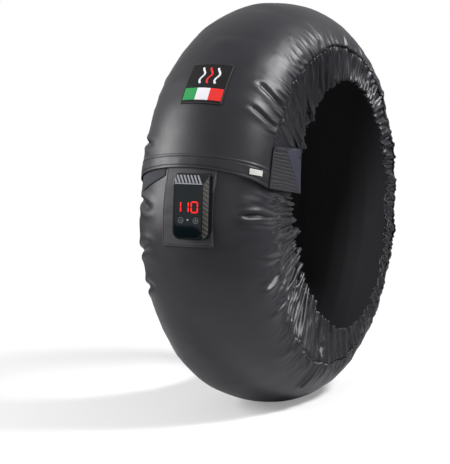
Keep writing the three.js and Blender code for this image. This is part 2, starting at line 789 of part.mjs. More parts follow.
warmer.add(casing);
add(casing, 'back_shell', backShell(), glossBlack);
add(casing, 'front_shell', frontShell(), glossBlack);
add(casing, 'display_window', displayWindow(), windowBlack);
add(casing, 'digit_hundreds', digitOne(digitPlaces[0]), litRed);
add(casing, 'digit_tens', digitOne(digitPlaces[1]), litRed);
add(casing, 'digit_units', digitZero(digitPlaces[2]), litRed);
add(casing, 'status_light', rod(statusRadius, ...printFace(), statusPlace), lampGrey);
add(casing, 'button_left', key(buttonPlaces[0]), keyGrey);
add(casing, 'button_right', key(buttonPlaces[1]), keyGrey);
add(casing, 'circuit_board', circuitBoard(), boardGreen);
screwPlaces.forEach((place, index) => {
  add(casing, `casing_screw_${index + 1}`, screw(place), steel);
});
add(casing, 'lead_grommet', grommet(coverBack), leadRubber);
add(casing, 'heater_lead', rod(leadRadius, ribbonTop + 2 * clearance, backDepth, leadPlace), leadRubber);

export default warmer;
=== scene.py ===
import math

import bmesh
import bpy
import numpy as np
from mathutils import Matrix, Vector


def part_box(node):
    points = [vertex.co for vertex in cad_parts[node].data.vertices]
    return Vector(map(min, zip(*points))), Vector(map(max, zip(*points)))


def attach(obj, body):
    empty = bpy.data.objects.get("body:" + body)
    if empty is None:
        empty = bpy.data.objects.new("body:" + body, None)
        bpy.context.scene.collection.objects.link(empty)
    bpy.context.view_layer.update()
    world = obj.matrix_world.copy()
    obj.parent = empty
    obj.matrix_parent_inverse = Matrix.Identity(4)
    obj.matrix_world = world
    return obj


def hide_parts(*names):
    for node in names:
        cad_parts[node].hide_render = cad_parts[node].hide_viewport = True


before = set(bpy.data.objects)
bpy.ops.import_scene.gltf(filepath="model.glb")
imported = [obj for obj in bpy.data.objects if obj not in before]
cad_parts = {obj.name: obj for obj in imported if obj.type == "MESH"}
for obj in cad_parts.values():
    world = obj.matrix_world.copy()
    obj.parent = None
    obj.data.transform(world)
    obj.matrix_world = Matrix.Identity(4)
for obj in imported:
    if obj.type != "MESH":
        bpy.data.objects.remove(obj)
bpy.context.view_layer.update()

# A motorcycle tyre warmer, closed round a tyre that isn't shown. Metres, axle line along Y.
# Places on the blanket: turn in degrees round the axle line (0 front, 90 top, 270 floor, past 360
# the lower end in the overlap), and reach, the distance over the cloth from the middle of the tread.

ring = dict(outerRadius=0.335, halfWidth=0.1075, crownDepth=0.076, axleHeight=0.331,
            sideFall=0.0125, sideSpan=0.109, dipDepth=0.0041, dipTurns=(354, 372))
blanket = "blanket"


# Ring surface

crownRadius = ring["outerRadius"] - ring["crownDepth"]
leanTable = np.radians(np.linspace(0, 90, 361))
crownSteps = np.hypot(np.diff(ring["crownDepth"] * np.cos(leanTable)),
                      np.diff(ring["halfWidth"] * np.sin(leanTable)))
reachTable = np.concatenate([[0], np.cumsum(crownSteps)])
crownReach = reachTable[-1]


def smoothStep(low, high, value):
    t = np.clip((value - low) / (high - low), 0, 1)
    return t * t * (3 - 2 * t)


def reachOfLean(lean):
    return float(np.sign(lean) * np.interp(math.radians(abs(lean)), leanTable, reachTable))


def reachOfRadius(radius):
    lean = np.arccos(np.clip((radius - crownRadius) / ring["crownDepth"], 0, 1))
    over = np.interp(lean, leanTable, reachTable)
    return np.where(radius < crownRadius, crownReach + crownRadius - radius, over)


def dip(turn):  # the lower end sinks under the upper end
    return ring["dipDepth"] * smoothStep(*ring["dipTurns"], turn)


def surface(turn, reach, depth=0.0):
    turn, reach, depth = np.broadcast_arrays(turn, reach, depth)
    side, far = np.sign(reach), np.abs(reach)
    lean = np.interp(far, reachTable, leanTable)
    inward = np.maximum(far - crownReach, 0)
    radius = crownRadius + (ring["crownDepth"] - depth) * np.cos(lean) - inward
    half = (ring["halfWidth"] - depth) * np.sin(lean) - ring["sideFall"] * (inward / ring["sideSpan"]) ** 1.5
    angle = np.radians(turn)
    z = ring["axleHeight"] + radius * np.sin(angle)
    z = depth + np.logaddexp(0, (z - depth) / 0.0007) * 0.0007  # flat where it stands on the floor
    return np.stack([-radius * np.cos(angle), side * half, z], axis=-1)


def outwards(turn, reach, depth=0.0):
    along = surface(turn + 0.05, reach, depth) - surface(turn - 0.05, reach, depth)
    over = surface(turn, reach + 0.0004, depth) - surface(turn, reach - 0.0004, depth)
    normal = np.cross(along, over)
    return normal / np.linalg.norm(normal, axis=-1, keepdims=True)


def waves(u, v, seed):  # smooth random waves, about one to each unit of u and v
    table = np.random.default_rng(seed).standard_normal((64, 64))
    iu, iv = np.floor(u).astype(int), np.floor(v).astype(int)
    fu, fv = smoothStep(0, 1, u - iu), smoothStep(0, 1, v - iv)
    a, b = table[iu % 64, iv % 64], table[(iu + 1) % 64, iv % 64]
    c, d = table[iu % 64, (iv + 1) % 64], table[(iu + 1) % 64, (iv + 1) % 64]
    return (a * (1 - fu) + b * fu) * (1 - fv) + (c * (1 - fu) + d * fu) * fv


# Mesh helpers

def link(mesh, name, body=blanket, slot=None, replaced=()):
    piece = bpy.data.objects.new(name, mesh)
    bpy.context.scene.collection.objects.link(piece)
    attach(piece, body)
    if replaced:
        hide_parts(*replaced)
    return piece


def gridMesh(name, points, uv):  # a cloth sheet on a grid of points, with its own UV map in metres
    columns, rows = points.shape[:2]
    bm = bmesh.new()
    bmesh.ops.create_grid(bm, x_segments=columns - 1, y_segments=rows - 1, size=1)
    mesh = bpy.data.meshes.new(name)
    bm.to_mesh(mesh)
    bm.free()
    flat = np.empty(len(mesh.vertices) * 3, np.float32)
    mesh.vertices.foreach_get("co", flat)
    flat = flat.reshape(-1, 3)
    c = np.rint((flat[:, 0] + 1) / 2 * (columns - 1)).astype(int)
    r = np.rint((flat[:, 1] + 1) / 2 * (rows - 1)).astype(int)
    mesh.vertices.foreach_set("co", points[c, r].astype(np.float32).ravel())
    corners = np.empty(len(mesh.loops), np.int32)
    mesh.loops.foreach_get("vertex_index", corners)
    layer = mesh.uv_layers.new(name="cloth")
    layer.data.foreach_set("uv", uv[c, r][corners].astype(np.float32).ravel())
    mesh.polygons.foreach_set("use_smooth", np.ones(len(mesh.polygons), bool))
    mesh.update()
    return mesh


def sheet(name, points, uv, thickness, material, flipped=False, **where):
    mesh = gridMesh(name, points, uv)
    if flipped:
        mesh.flip_normals()
    piece = link(mesh, name, **where)
    wall = piece.modifiers.new("thickness", "SOLIDIFY")
    wall.thickness = thickness
    wall.offset = -1
    mesh.materials.append(material)
    return piece


def spread(turns, reaches, columns, rows):
    turn = np.linspace(*turns, columns)[:, None]
    reach = np.linspace(*reaches, rows)[None, :]
    return np.broadcast_arrays(turn, reach)


def clothMap(turn, reach):
    return np.stack([np.radians(turn) * ring["outerRadius"], reach], axis=-1)


# Materials

def tone(code):  # sRGB hex to linear
    parts = [int(code[i:i + 2], 16) / 255 for i in (0, 2, 4)]
    linear = [p / 12.92 if p <= 0.04045 else ((p + 0.055) / 1.055) ** 2.4 for p in parts]
    return (*linear, 1)


def addNode(tree, kind, settings=None, inputs=None):
    node = tree.nodes.new(kind)
    for key, value in (settings or {}).items():
        setattr(node, key, value)
    for key, value in (inputs or {}).items():
        if isinstance(value, bpy.types.NodeSocket):
            tree.links.new(value, node.inputs[key])
        else:
            node.inputs[key].default_value = value
    return node


def startMaterial(name, **values):
    material = bpy.data.materials.new(name)
    material.use_nodes = True
    tree = material.node_tree
    shader = tree.nodes["Principled BSDF"]
    for key, value in values.items():
        shader.inputs[key.replace("_", " ")].default_value = value
    return material, tree, shader


def waveScale(period):  # a wave texture's scale for bands that far apart
    return 2 * math.pi / (20 * period)


def wovenCloth(name, dark, light, roughness, thread=0.0014, relief=0.00006, crumple=0.0003,
               crumpleSize=0.012, specular=0.4):
    material, tree, shader = startMaterial(name)
    shader.inputs["Specular IOR Level"].default_value = specular
    cloth = addNode(tree, "ShaderNodeUVMap", {"uv_map": "cloth"}).outputs["UV"]
    patchy = addNode(tree, "ShaderNodeTexNoise", {}, {"Vector": cloth, "Scale": 14, "Detail": 4, "Roughness": 0.6})
    colour = addNode(tree, "ShaderNodeMix", {"data_type": "RGBA"},
                     {"Factor": patchy.outputs["Fac"], "A": tone(dark), "B": tone(light)})
    tree.links.new(colour.outputs["Result"], shader.inputs["Base Color"])
    gloss = addNode(tree, "ShaderNodeMapRange", {},
                    {"Value": patchy.outputs["Fac"], "From Min": 0.3, "From Max": 0.7,
                     "To Min": roughness - 0.05, "To Max": roughness + 0.05})
    tree.links.new(gloss.outputs["Result"], shader.inputs["Roughness"])
    warp = addNode(tree, "ShaderNodeTexWave", {"bands_direction": "X"}, {"Vector": cloth, "Scale": waveScale(thread)})
    weft = addNode(tree, "ShaderNodeTexWave", {"bands_direction": "Y"}, {"Vector": cloth, "Scale": waveScale(thread)})
    both = addNode(tree, "ShaderNodeMath", {"operation": "ADD"}, {0: warp.outputs["Fac"], 1: weft.outputs["Fac"]})
    weave = addNode(tree, "ShaderNodeBump", {}, {"Strength": 0.6, "Distance": relief, "Height": both.outputs["Value"]})
    crumples = addNode(tree, "ShaderNodeTexNoise", {"noise_type": "RIDGED_MULTIFRACTAL"},
                       {"Vector": cloth, "Scale": 0.35 / crumpleSize, "Detail": 2, "Roughness": 0.4})
    bump = addNode(tree, "ShaderNodeBump", {}, {"Strength": 0.5, "Distance": crumple,
                                               "Height": crumples.outputs["Fac"], "Normal": weave.outputs["Normal"]})
    tree.links.new(bump.outputs["Normal"], shader.inputs["Normal"])
    return material


def smoothFinish(name, colour, roughness, grain=0.0008, relief=0.00001, **values):
    material, tree, shader = startMaterial(name, Base_Color=tone(colour), **values)
    place = addNode(tree, "ShaderNodeTexCoord").outputs["Object"]
    fine = addNode(tree, "ShaderNodeTexNoise", {}, {"Vector": place, "Scale": 1 / grain, "Detail": 3})
    gloss = addNode(tree, "ShaderNodeMapRange", {}, {"Value": fine.outputs["Fac"], "To Min": roughness * 0.8,
                                                    "To Max": roughness * 1.25})
    tree.links.new(gloss.outputs["Result"], shader.inputs["Roughness"])
    bump = addNode(tree, "ShaderNodeBump", {}, {"Strength": 0.3, "Distance": relief, "Height": fine.outputs["Fac"]})
    tree.links.new(bump.outputs["Normal"], shader.inputs["Normal"])
    return material


# Nylon with a thin coat: dark threads, a broad sheen along the folds
coatedNylon = wovenCloth("coated_nylon", "1b1b20", "222228", 0.43)
skirtNylon = wovenCloth("light_skirt_nylon", "18181d", "1f1f25", 0.4, crumple=0.0006, crumpleSize=0.006)
flapNylon = wovenCloth("flap_nylon", "343338", "3c3b40", 0.6, crumple=0.0001)
tabNylon = wovenCloth("stitched_tab_nylon", "1e1e23", "27272d", 0.5, crumpleSize=0.005)
# Tab facing: nylon coloured lighter and bluer than the rest, as painted sheen on the smooth facing
paintedSheenFacingNylon = wovenCloth("facing_nylon_painted_sheen", "2f303c", "393b49", 0.42, crumple=0.0002)
# Woven aramid scatters the light, so it stays matt and nearly black
liningAramid = wovenCloth("woven_aramid_lining", "161518", "1e1d20", 0.8, thread=0.002, crumple=0.0002, specular=0.2)
# Carbon threads, felt and braid: dull, with the weave just showing
ribbonCarbon = wovenCloth("carbon_ribbon", "101010", "1b1b1b", 0.6, thread=0.002)
feltWadding = wovenCloth("felt_wadding", "a5a090", "c4bfb0", 0.9, thread=0.003, crumple=0.0006)
elasticBraid = wovenCloth("elastic_braid", "101012", "1a1a1d", 0.8, thread=0.001)
# Hooks and brushed loops break up the light; satin ribbon keeps a soft shine
hookTape = wovenCloth("hook_tape", "18181b", "222226", 0.9, thread=0.002, relief=0.0003)
loopTape = wovenCloth("brushed_loop_tape", "2a2b31", "34353c", 0.8, thread=0.002, relief=0.0002)
satinTape = wovenCloth("satin_label_tape", "c6c6c0", "d6d6d0", 0.5, thread=0.0008, crumple=0.0001)
# Embroidery: raised bundles of thread, deep in colour, dark twill under them
badgeTwill = wovenCloth("badge_twill", "08080a", "101013", 0.75, thread=0.001, crumple=0.0001, specular=0.25)
redThread = wovenCloth("red_embroidery", "d0120c", "ea2018", 0.6, thread=0.0009, relief=0.0002, crumple=0.0001)
whiteThread = wovenCloth("white_embroidery", "dcd9e0", "f0eef4", 0.6, thread=0.0009, relief=0.0002, crumple=0.0001)
greenThread = wovenCloth("green_embroidery", "0a8540", "129c4f", 0.6, thread=0.0009, relief=0.0002, crumple=0.0001)
darkStitch = smoothFinish("dark_sewing_thread", "050507", 0.6, relief=0.0001)
# Stitches on the flap's lifted edge: real thread, coloured grey as painted highlight for the light along that edge
edgeHighlightStitch = smoothFinish("stitch_grey_painted_highlight", "8a8a90", 0.6, relief=0.0001)
# Moulded and polished parts: sharp highlights, a fine unevenness in the gloss
glossAbs = smoothFinish("gloss_black_abs", "0a0f11", 0.2)
acrylic = smoothFinish("tinted_acrylic_window", "081216", 0.1)
softKey = smoothFinish("satin_key_cap", "11191c", 0.3)
greyPrint = smoothFinish("grey_pad_print", "7f858a", 0.45)
paleBar = smoothFinish("pale_lacquered_bars", "9a9ca6", 0.35)
lampLens = smoothFinish("clear_lamp_lens", "b4bac0", 0.2)
boardLacquer = smoothFinish("green_solder_mask", "1d5a34", 0.4)
leadRubber = smoothFinish("moulded_rubber", "0f0f10", 0.6)
platedSteel = smoothFinish("zinc_plated_steel", "9a9a9c", 0.35, Metallic=1.0)
litSegment = smoothFinish("lit_red_segment", "d8150f", 0.4, Emission_Color=tone("ff1a12"), Emission_Strength=0.8)
# Carbon twill under lacquer: slanting bands, light and dark
carbonTwill, tree, shader = startMaterial("carbon_twill_inlay", Roughness=0.3)
place = addNode(tree, "ShaderNodeTexCoord").outputs["Object"]
turned = addNode(tree, "ShaderNodeMapping", {}, {"Vector": place, "Rotation": (math.radians(-38), 0, 0)})
bands = addNode(tree, "ShaderNodeTexWave", {"bands_direction": "Z"},
                {"Vector": turned.outputs["Vector"], "Scale": waveScale(0.0055), "Distortion": 0.4})
weave = addNode(tree, "ShaderNodeMix", {"data_type": "RGBA"},
                {"Factor": bands.outputs["Fac"], "A": tone("0b0d0e"), "B": tone("57544b")})
tree.links.new(weave.outputs["Result"], shader.inputs["Base Color"])
print("materials made")


# Camera, lights and floor

picture = dict(width=450, height=464, focal=1573.75, axle=(276.65, 202.9))
shot = dict(azimuth=-64.68, elevation=4.75, distance=2.661, sensor=36)


def makeCamera():
    a, e = math.radians(shot["azimuth"]), math.radians(shot["elevation"])
    back = Vector((math.sin(a) * math.cos(e), -math.cos(a) * math.cos(e), math.sin(e)))
    right = Vector((math.cos(a), math.sin(a), 0))
    up = back.cross(right)
    across = (picture["width"] / 2 - picture["axle"][0]) / picture["focal"]
    down = (picture["height"] / 2 - picture["axle"][1]) / picture["focal"]
    data = bpy.data.cameras.new("camera")
    data.sensor_width = shot["sensor"]
    data.lens = picture["focal"] / picture["height"] * shot["sensor"]
    camera = bpy.data.objects.new("camera", data)
    bpy.context.scene.collection.objects.link(camera)
    camera.location = Vector((0, 0, ring["axleHeight"])) + back * shot["distance"]
    camera.rotation_euler = (right * across - up * down - back).to_track_quat("-Z", "Y").to_euler()
    bpy.context.scene.camera = camera


def areaLight(name, place, aim, size, power):
    data = bpy.data.lights.new(name, "AREA")
    data.shape = "RECTANGLE"
    data.size, data.size_y = size
    data.energy = power
    lamp = bpy.data.objects.new(name, data)
    bpy.context.scene.collection.objects.link(lamp)
    lamp.location = place
    lamp.rotation_euler = (Vector(aim) - Vector(place)).to_track_quat("-Z", "Y").to_euler()


makeCamera()
areaLight("key_softbox", (-1.5, 2.3, 1.3), (-0.1, 0, 0.35), (0.9, 1.6), 95)
areaLight("top_softbox", (0.3, -1.5, 1.9), (0, 0, 0.45), (0.7, 0.5), 62)
areaLight("front_fill", (-2.6, -1.6, 0.7), (0, 0, 0.3), (1.6, 1.2), 9)

bpy.context.scene.view_settings.view_transform = "Standard"
world = bpy.data.worlds.new("studio")
bpy.context.scene.world = world
world.use_nodes = True
tree = world.node_tree
sky = tree.nodes["Background"]
light = addNode(tree, "ShaderNodeLightPath")
seen = addNode(tree, "ShaderNodeMath", {"operation": "MAXIMUM"},
               {0: light.outputs["Is Camera Ray"], 1: light.outputs["Is Transmission Ray"]})
strength = addNode(tree, "ShaderNodeMapRange", {}, {"Value": seen.outputs["Value"], "To Min": 0.3, "To Max": 1.0})
glossy = addNode(tree, "ShaderNodeMath", {"operation": "MULTIPLY"}, {0: light.outputs["Is Glossy Ray"], 1: 0.25})
total = addNode(tree, "ShaderNodeMath", {"operation": "ADD"},
                {0: strength.outputs["Result"], 1: glossy.outputs["Value"]})
tree.links.new(total.outputs["Value"], sky.inputs["Strength"])
sky.inputs["Color"].default_value = (1, 1, 1, 1)


def makeFloor():  # pale near the blanket, where it keeps the shadow, and white further out
    bm = bmesh.new()
    bmesh.ops.create_grid(bm, x_segments=8, y_segments=8, size=14)
    mesh = bpy.data.meshes.new("floor")
    bm.to_mesh(mesh)
    bm.free()
    floor = bpy.data.objects.new("floor", mesh)
    bpy.context.scene.collection.objects.link(floor)
    floor.location.z = -0.0006
    material, tree, shader = startMaterial("pale_floor", Roughness=0.9)
    shader.inputs["Specular IOR Level"].default_value = 0.1
    place = addNode(tree, "ShaderNodeTexCoord").outputs["Object"]
    far = addNode(tree, "ShaderNodeVectorMath", {"operation": "LENGTH"}, {0: place})
    fade = addNode(tree, "ShaderNodeMapRange", {"interpolation_type": "SMOOTHSTEP"},
                   {"Value": far.outputs["Value"], "From Min": 0.35, "From Max": 1.5})
    colour = addNode(tree, "ShaderNodeMix", {"data_type": "RGBA"},
                     {"Factor": fade.outputs["Result"], "A": (0.72, 0.72, 0.73, 1), "B": (0.0, 0.0, 0.0, 1)})
    tree.links.new(colour.outputs["Result"], shader.inputs["Base Color"])
    shader.inputs["Emission Color"].default_value = (1, 1, 1, 1)
    light = addNode(tree, "ShaderNodeLightPath")
    glow = addNode(tree, "ShaderNodeMapRange", {}, {"Value": fade.outputs["Result"], "To Min": 0.25, "To Max": 1.0})
    shown = addNode(tree, "ShaderNodeMath", {"operation": "MULTIPLY"},
                    {0: light.outputs["Is Camera Ray"], 1: glow.outputs["Result"]})
    tree.links.new(shown.outputs["Value"], shader.inputs["Emission Strength"])
    mesh.materials.append(material)


makeFloor()
print("camera, lights and floor set")


# Cloth at the sides: the flank of the cover and the gathered skirt settle as one sheet, which is
# longer than the seam and the opening that it is drawn in to, so it stands in folds

sides = dict(topReach=0.085, flankRows=14, skirtRows=20, seamRadius=0.262, seamPull=0.042, pullTurns=(295, 350),
             openingRear=0.051, openingDrop=0.004, openingHalf=(0.185, 0.212), openingTilt=11,
             rounds=240, columns=1040, hemStart=13.5, lowerEnd=382, droop=3.5, droopEnd=18,
             hemFold=16.9, hemLift=0.0006, seamEase=1.13, skirtEase=1.2)


def seamAt(turn):
    return sides["seamRadius"] - sides["seamPull"] * smoothStep(*sides["pullTurns"], turn)


def openingAt(turn):  # an ellipse set back from the axle and tilted
    tilt = math.radians(sides["openingTilt"])
    angle = np.radians(turn)
    turnBack = np.array([[math.cos(tilt), math.sin(tilt)], [-math.sin(tilt), math.cos(tilt)]])
    ray = np.stack([-np.cos(angle), np.sin(angle)], axis=-1) @ turnBack.T / sides["openingHalf"]
    back = turnBack @ np.array([sides["openingRear"], -sides["openingDrop"]]) / sides["openingHalf"]
    a = (ray * ray).sum(-1)
    b = ray @ back
    return (b + np.sqrt(b * b - a * (back @ back - 1))) / a


def drooped(turn, reach):  # the upper end's hem hangs lower towards both sides
    fade = np.clip((sides["droopEnd"] - turn) / (sides["droopEnd"] - sides["hemStart"]), 0, 1)
    lean = np.interp(np.abs(reach), reachTable, leanTable) / math.radians(85.5)
    return turn - fade * sides["droop"] * np.minimum(lean, 1) ** 2


def pull(points, first, second, rest, share, pushOnly=False):
    gap = points[second] - points[first]
    size = np.linalg.norm(gap, axis=-1)
    change = share * 0.5 * (1 - rest / size)
    if pushOnly:
        change = np.minimum(change, 0)
    gap *= change[..., None]
    points[first] += gap
    points[second] -= gap


def settle(base, normal, restRound, restAcross, start, low, high, held):
    columns, rows = base.shape[:2]
    points = start.copy()
    shear = np.hypot(restRound[:, :-1] + restRound[:, 1:], restAcross[:-1] + restAcross[1:]) / 2
    inward = base[:, -1] - base[:, -2]
    inward /= np.linalg.norm(inward, axis=-1, keepdims=True)
    for _ in range(sides["rounds"]):
        for p in (0, 1):
            pull(points, np.s_[p:columns - 1:2], np.s_[p + 1:columns:2], restRound[p::2], 1)
            pull(points, np.s_[:, p:rows - 1:2], np.s_[:, p + 1:rows:2], restAcross[:, p::2], 1)
            pull(points, np.s_[p:columns - 1:2, :-1], np.s_[p + 1:columns:2, 1:], shear[p::2], 0.12)
            pull(points, np.s_[p:columns - 1:2, 1:], np.s_[p + 1:columns:2, :-1], shear[p::2], 0.12)
        for p in range(4):
            bendRound = (restRound[:-1] + restRound[1:])[p::4] * 0.97
            pull(points, np.s_[p:columns - 2:4], np.s_[p + 2:columns:4], bendRound, 0.4, True)
            bendAcross = (restAcross[:, :-1] + restAcross[:, 1:])[:, p::4]
            pull(points, np.s_[:, p:rows - 2:4], np.s_[:, p + 2:rows:4], bendAcross, 0.5, True)
        height = ((points - base) * normal).sum(-1)
        points += (np.clip(height, low, high) - height)[..., None] * normal
        points += (base - points) * held[..., None]
        drift = ((base[:, -1] - points[:, -1]) * inward).sum(-1)
        points[:, -1] += 0.6 * drift[:, None] * inward  # the elastic keeps the opening's shape
        points[..., 2] = np.maximum(points[..., 2], 0.0009)
    return points


def stripBase(turns, side, seed):
    wander = 0.003 * waves(turns / 5, turns * 0, seed) * smoothStep(24, 40, turns)
    seam = reachOfRadius(seamAt(turns) + wander)
    edge = reachOfRadius(openingAt(turns) + 0.0012 * waves(turns / 3, turns * 0, seed + 1))
    flank = np.linspace(0, 1, sides["flankRows"] + 1)
    fall = np.linspace(0, 1, sides["skirtRows"] + 1)[1:]
    reach = np.concatenate([sides["topReach"] + (seam[:, None] - sides["topReach"]) * flank,
                            seam[:, None] + (edge - seam)[:, None] * fall], axis=1)
    turn = np.broadcast_to(turns[:, None], reach.shape)
    return drooped(turn, reach), reach * side


def settledSide(turns, side, seed):
    turn, reach = stripBase(turns, side, seed + 9)
    base = surface(turn, reach, dip(turn))
    normal = outwards(turn, reach, dip(turn))
    restRound = np.linalg.norm(np.diff(base, axis=0), axis=-1)
    restAcross = np.linalg.norm(np.diff(base, axis=1), axis=-1)
    last = sides["flankRows"]
    middle = (turns[:-1] + turns[1:]) / 2
    calm = smoothStep(24, 40, middle) * (1 - smoothStep(364, 374, middle))  # flat under the tab
    seamEase = 1 + (sides["seamEase"] - 1 + 0.04 * waves(middle / 6, middle * 0, seed + 3)) * (0.15 + 0.85 * calm)
    skirtEase = 1 + (sides["skirtEase"] - 1) * (0.1 + 0.9 * calm)
    share = np.linspace(0, 1, last + 1) ** 1.7
    seamRest = restRound[:, last:last + 1].copy()
    restRound[:, :last + 1] *= 1 + (seamEase[:, None] - 1) * share
    restRound[:, last + 1:] = np.maximum(restRound[:, last + 1:], seamRest * skirtEase[:, None])
    along = np.radians(turn) * sides["seamRadius"]
    far = np.abs(reach)
    loose = smoothStep(20, 30, turn) * (1 - smoothStep(52, 66, turn)) + smoothStep(290, 310, turn)
    fine = waves(along / 0.0085 + far * 10, far / 0.06, seed)
    slanted = waves(along / 0.008 + far * 80, far / 0.04, seed + 1)
    coarse = waves(along / 0.016 + far * 14, far / 0.08, seed + 2)
    rear = smoothStep(115, 140, turn) * (1 - smoothStep(235, 265, turn))
    wave = fine * (1 - rear) * (1 - 0.7 * loose) + slanted * rear + 1.3 * coarse * loose
    rise = smoothStep(sides["topReach"] + 0.005, sides["topReach"] + 0.06, far)
    start = base + (0.003 * rise * wave)[..., None] * normal
    row = np.arange(turn.shape[1])[None, :]
    ends = 1 - smoothStep(14, 34, turn) * (1 - smoothStep(368, 378, turn))
    held = np.broadcast_to(np.where(row == 0, 1.0, 0.0), turn.shape) + 0.3 * ends * (row > 0)
    low = np.where(row <= last, -0.0004, -0.004) + 0 * turn
    high = 0.001 + 0.0085 * smoothStep(0.095, 0.14, far)
    points = settle(base, normal, restRound, restAcross, start, low, high, np.clip(held, 0, 1))
    points[1:-1, 1:] = 0.5 * points[1:-1, 1:] + 0.25 * (points[2:, 1:] + points[:-2, 1:])
    return points, turn, reach, normal


fineHem = np.linspace(sides["hemStart"], 17.4, 40)
coverTurns = np.concatenate([fineHem[:-1], np.linspace(17.4, sides["lowerEnd"], sides["columns"] - 39)])
nearSide = settledSide(coverTurns, -1, 11)
farSide = settledSide(coverTurns, 1, 47)
print("side cloth settled")


# Cover

cover = dict(crownRows=17, softness=0.0009, thickness=0.0012, seamLift=0.0006, stitchTurns=(14.15, 16.4))

# Creases, listed one by one: a path of turn and reach, then depth and half width
creases = [
    (((283, -0.172), (286.2, -0.137), (287.5, -0.099)), 0.0060, 0.0035),
    (((361.2, -0.100), (361.2, -0.128), (360.2, -0.150)), 0.0042, 0.0030),
    (((337.2, -0.130), (338, -0.160)), 0.0045, 0.0035),
    (((40.7, -0.091), (38.8, -0.119), (38.5, -0.145)), 0.0030, 0.0040),
    (((32.7, -0.090), (31.0, -0.117), (30.2, -0.134)), 0.0026, 0.0035),
    (((352.0, 0.075), (350.0, 0.100), (347.0, 0.130)), 0.0050, 0.0050),
    (((362.5, 0.075), (364.0, 0.100), (365.0, 0.130)), 0.0045, 0.0050),
    (((340.0, 0.080), (336.0, 0.115), (334.0, 0.140)), 0.0040, 0.0050),
    (((20.5, 0.085), (22.5, 0.112), (24.0, 0.140)), 0.0035, 0.0040),
]


gathers = dict(pitch=0.0115, height=0.0034, seamSpan=0.016, flankSpan=0.022, edgeSpan=0.017)


def gatherLift(turn, reach):  # round folds with sharp valleys, where the seam and the elastic draw in
    along = np.radians(turn) * sides["seamRadius"]
    far = np.abs(reach)
    seam, edge = reachOfRadius(seamAt(turn)), reachOfRadius(openingAt(turn))
    seed = np.where(reach < 0, 0.0, 17.0)
    phase = along / gathers["pitch"] + 0.9 * waves(along / 0.02 + seed, far / 0.03, 91) + 9 * (far - seam)
    fold = np.abs(np.sin(np.pi * phase)) ** 0.75
    span = np.where(far < seam, gathers["flankSpan"], gathers["seamSpan"])
    near = np.exp(-((far - seam) / span) ** 2) + np.exp(-((edge - far) / gathers["edgeSpan"]) ** 2)
    uneven = np.clip(0.85 + 0.45 * waves(along / 0.017 + seed, far / 0.04, 92), 0.2, 1.6)
    calm = smoothStep(22, 34, turn) * (1 - smoothStep(366, 374, turn))
    return gathers["height"] * fold * np.minimum(near, 1) * uneven * calm


def creaseLift(turn, reach, widen=1):
    total = np.zeros(turn.shape)
    scale = np.radians(1) * 0.29
    here = np.stack([turn * scale, reach], axis=-1)
    for path, depth, width in creases:
        width = width * widen
        spots = [np.array([t * scale, r]) for t, r in path]
        best = np.full(turn.shape, 9.0)
        for a, b in zip(spots[:-1], spots[1:]):
            share = np.clip(((here - a) @ (b - a)) / ((b - a) @ (b - a)), 0, 1)
            best = np.minimum(best, np.linalg.norm(here - a - share[..., None] * (b - a), axis=-1))
        total -= depth * np.exp(-(best / width) ** 2)
        total += 0.45 * depth * np.exp(-((best - 2.2 * width) / (1.3 * width)) ** 2)  # swells beside it
    return total


def makeCover():
    last = sides["flankRows"]
    reach = np.linspace(-sides["topReach"], sides["topReach"], cover["crownRows"] + 1)[None, 1:-1]
    turn, reach = np.broadcast_arrays(coverTurns[:, None], reach)
    turn = drooped(turn, reach)
    middle = (surface(turn, reach, dip(turn)), turn, reach)
    near = [field[:, :last + 1][:, ::-1] for field in nearSide[:3]]
    far = [field[:, :last + 1] for field in farSide[:3]]
    points, turns, reaches = (np.concatenate(group, axis=1) for group in zip(near, middle, far))
    normal = outwards(turns, reaches)
    start = coverTurns[:, None]
    soft = waves(np.radians(turns) * 5, reaches / 0.07 + 8, 71)
    soft = soft + 0.5 * waves(np.radians(turns) * 13, reaches / 0.03 + 8, 72)
    lift = cover["softness"] * np.maximum(soft, -0.4) * smoothStep(16, 30, start) + gatherLift(turns, reaches)
    lift = lift + sides["hemLift"] * (1 - smoothStep(sides["hemFold"], sides["hemFold"] + 0.25, start))
    for line in cover["stitchTurns"]:
        lift = lift - 0.0005 * np.exp(-((start - line) / 0.12) ** 2)
    lift = lift + 0.0005 * np.sin(reaches / 0.0045) * np.exp(-((start - 15.2) / 1.2) ** 2)
    lift = lift + creaseLift(turns, reaches)
    lift[:, [0, -1]] += cover["seamLift"]
    lift[:, [1, -2]] += 0.6 * cover["seamLift"]
    points = points + lift[..., None] * normal
    points[..., 2] = np.maximum(points[..., 2], 0.0008)
    piece = sheet("tread_cover", points, clothMap(turns, reaches), cover["thickness"], coatedNylon,
                  slot="cover_nylon", replaced=["outer_cover"])
    return points, normal


coverPoints, coverNormals = makeCover()


# Skirts

skirt = dict(startTurn=24, thickness=0.0009, tuck=0.0009, rollDepth=0.0032)


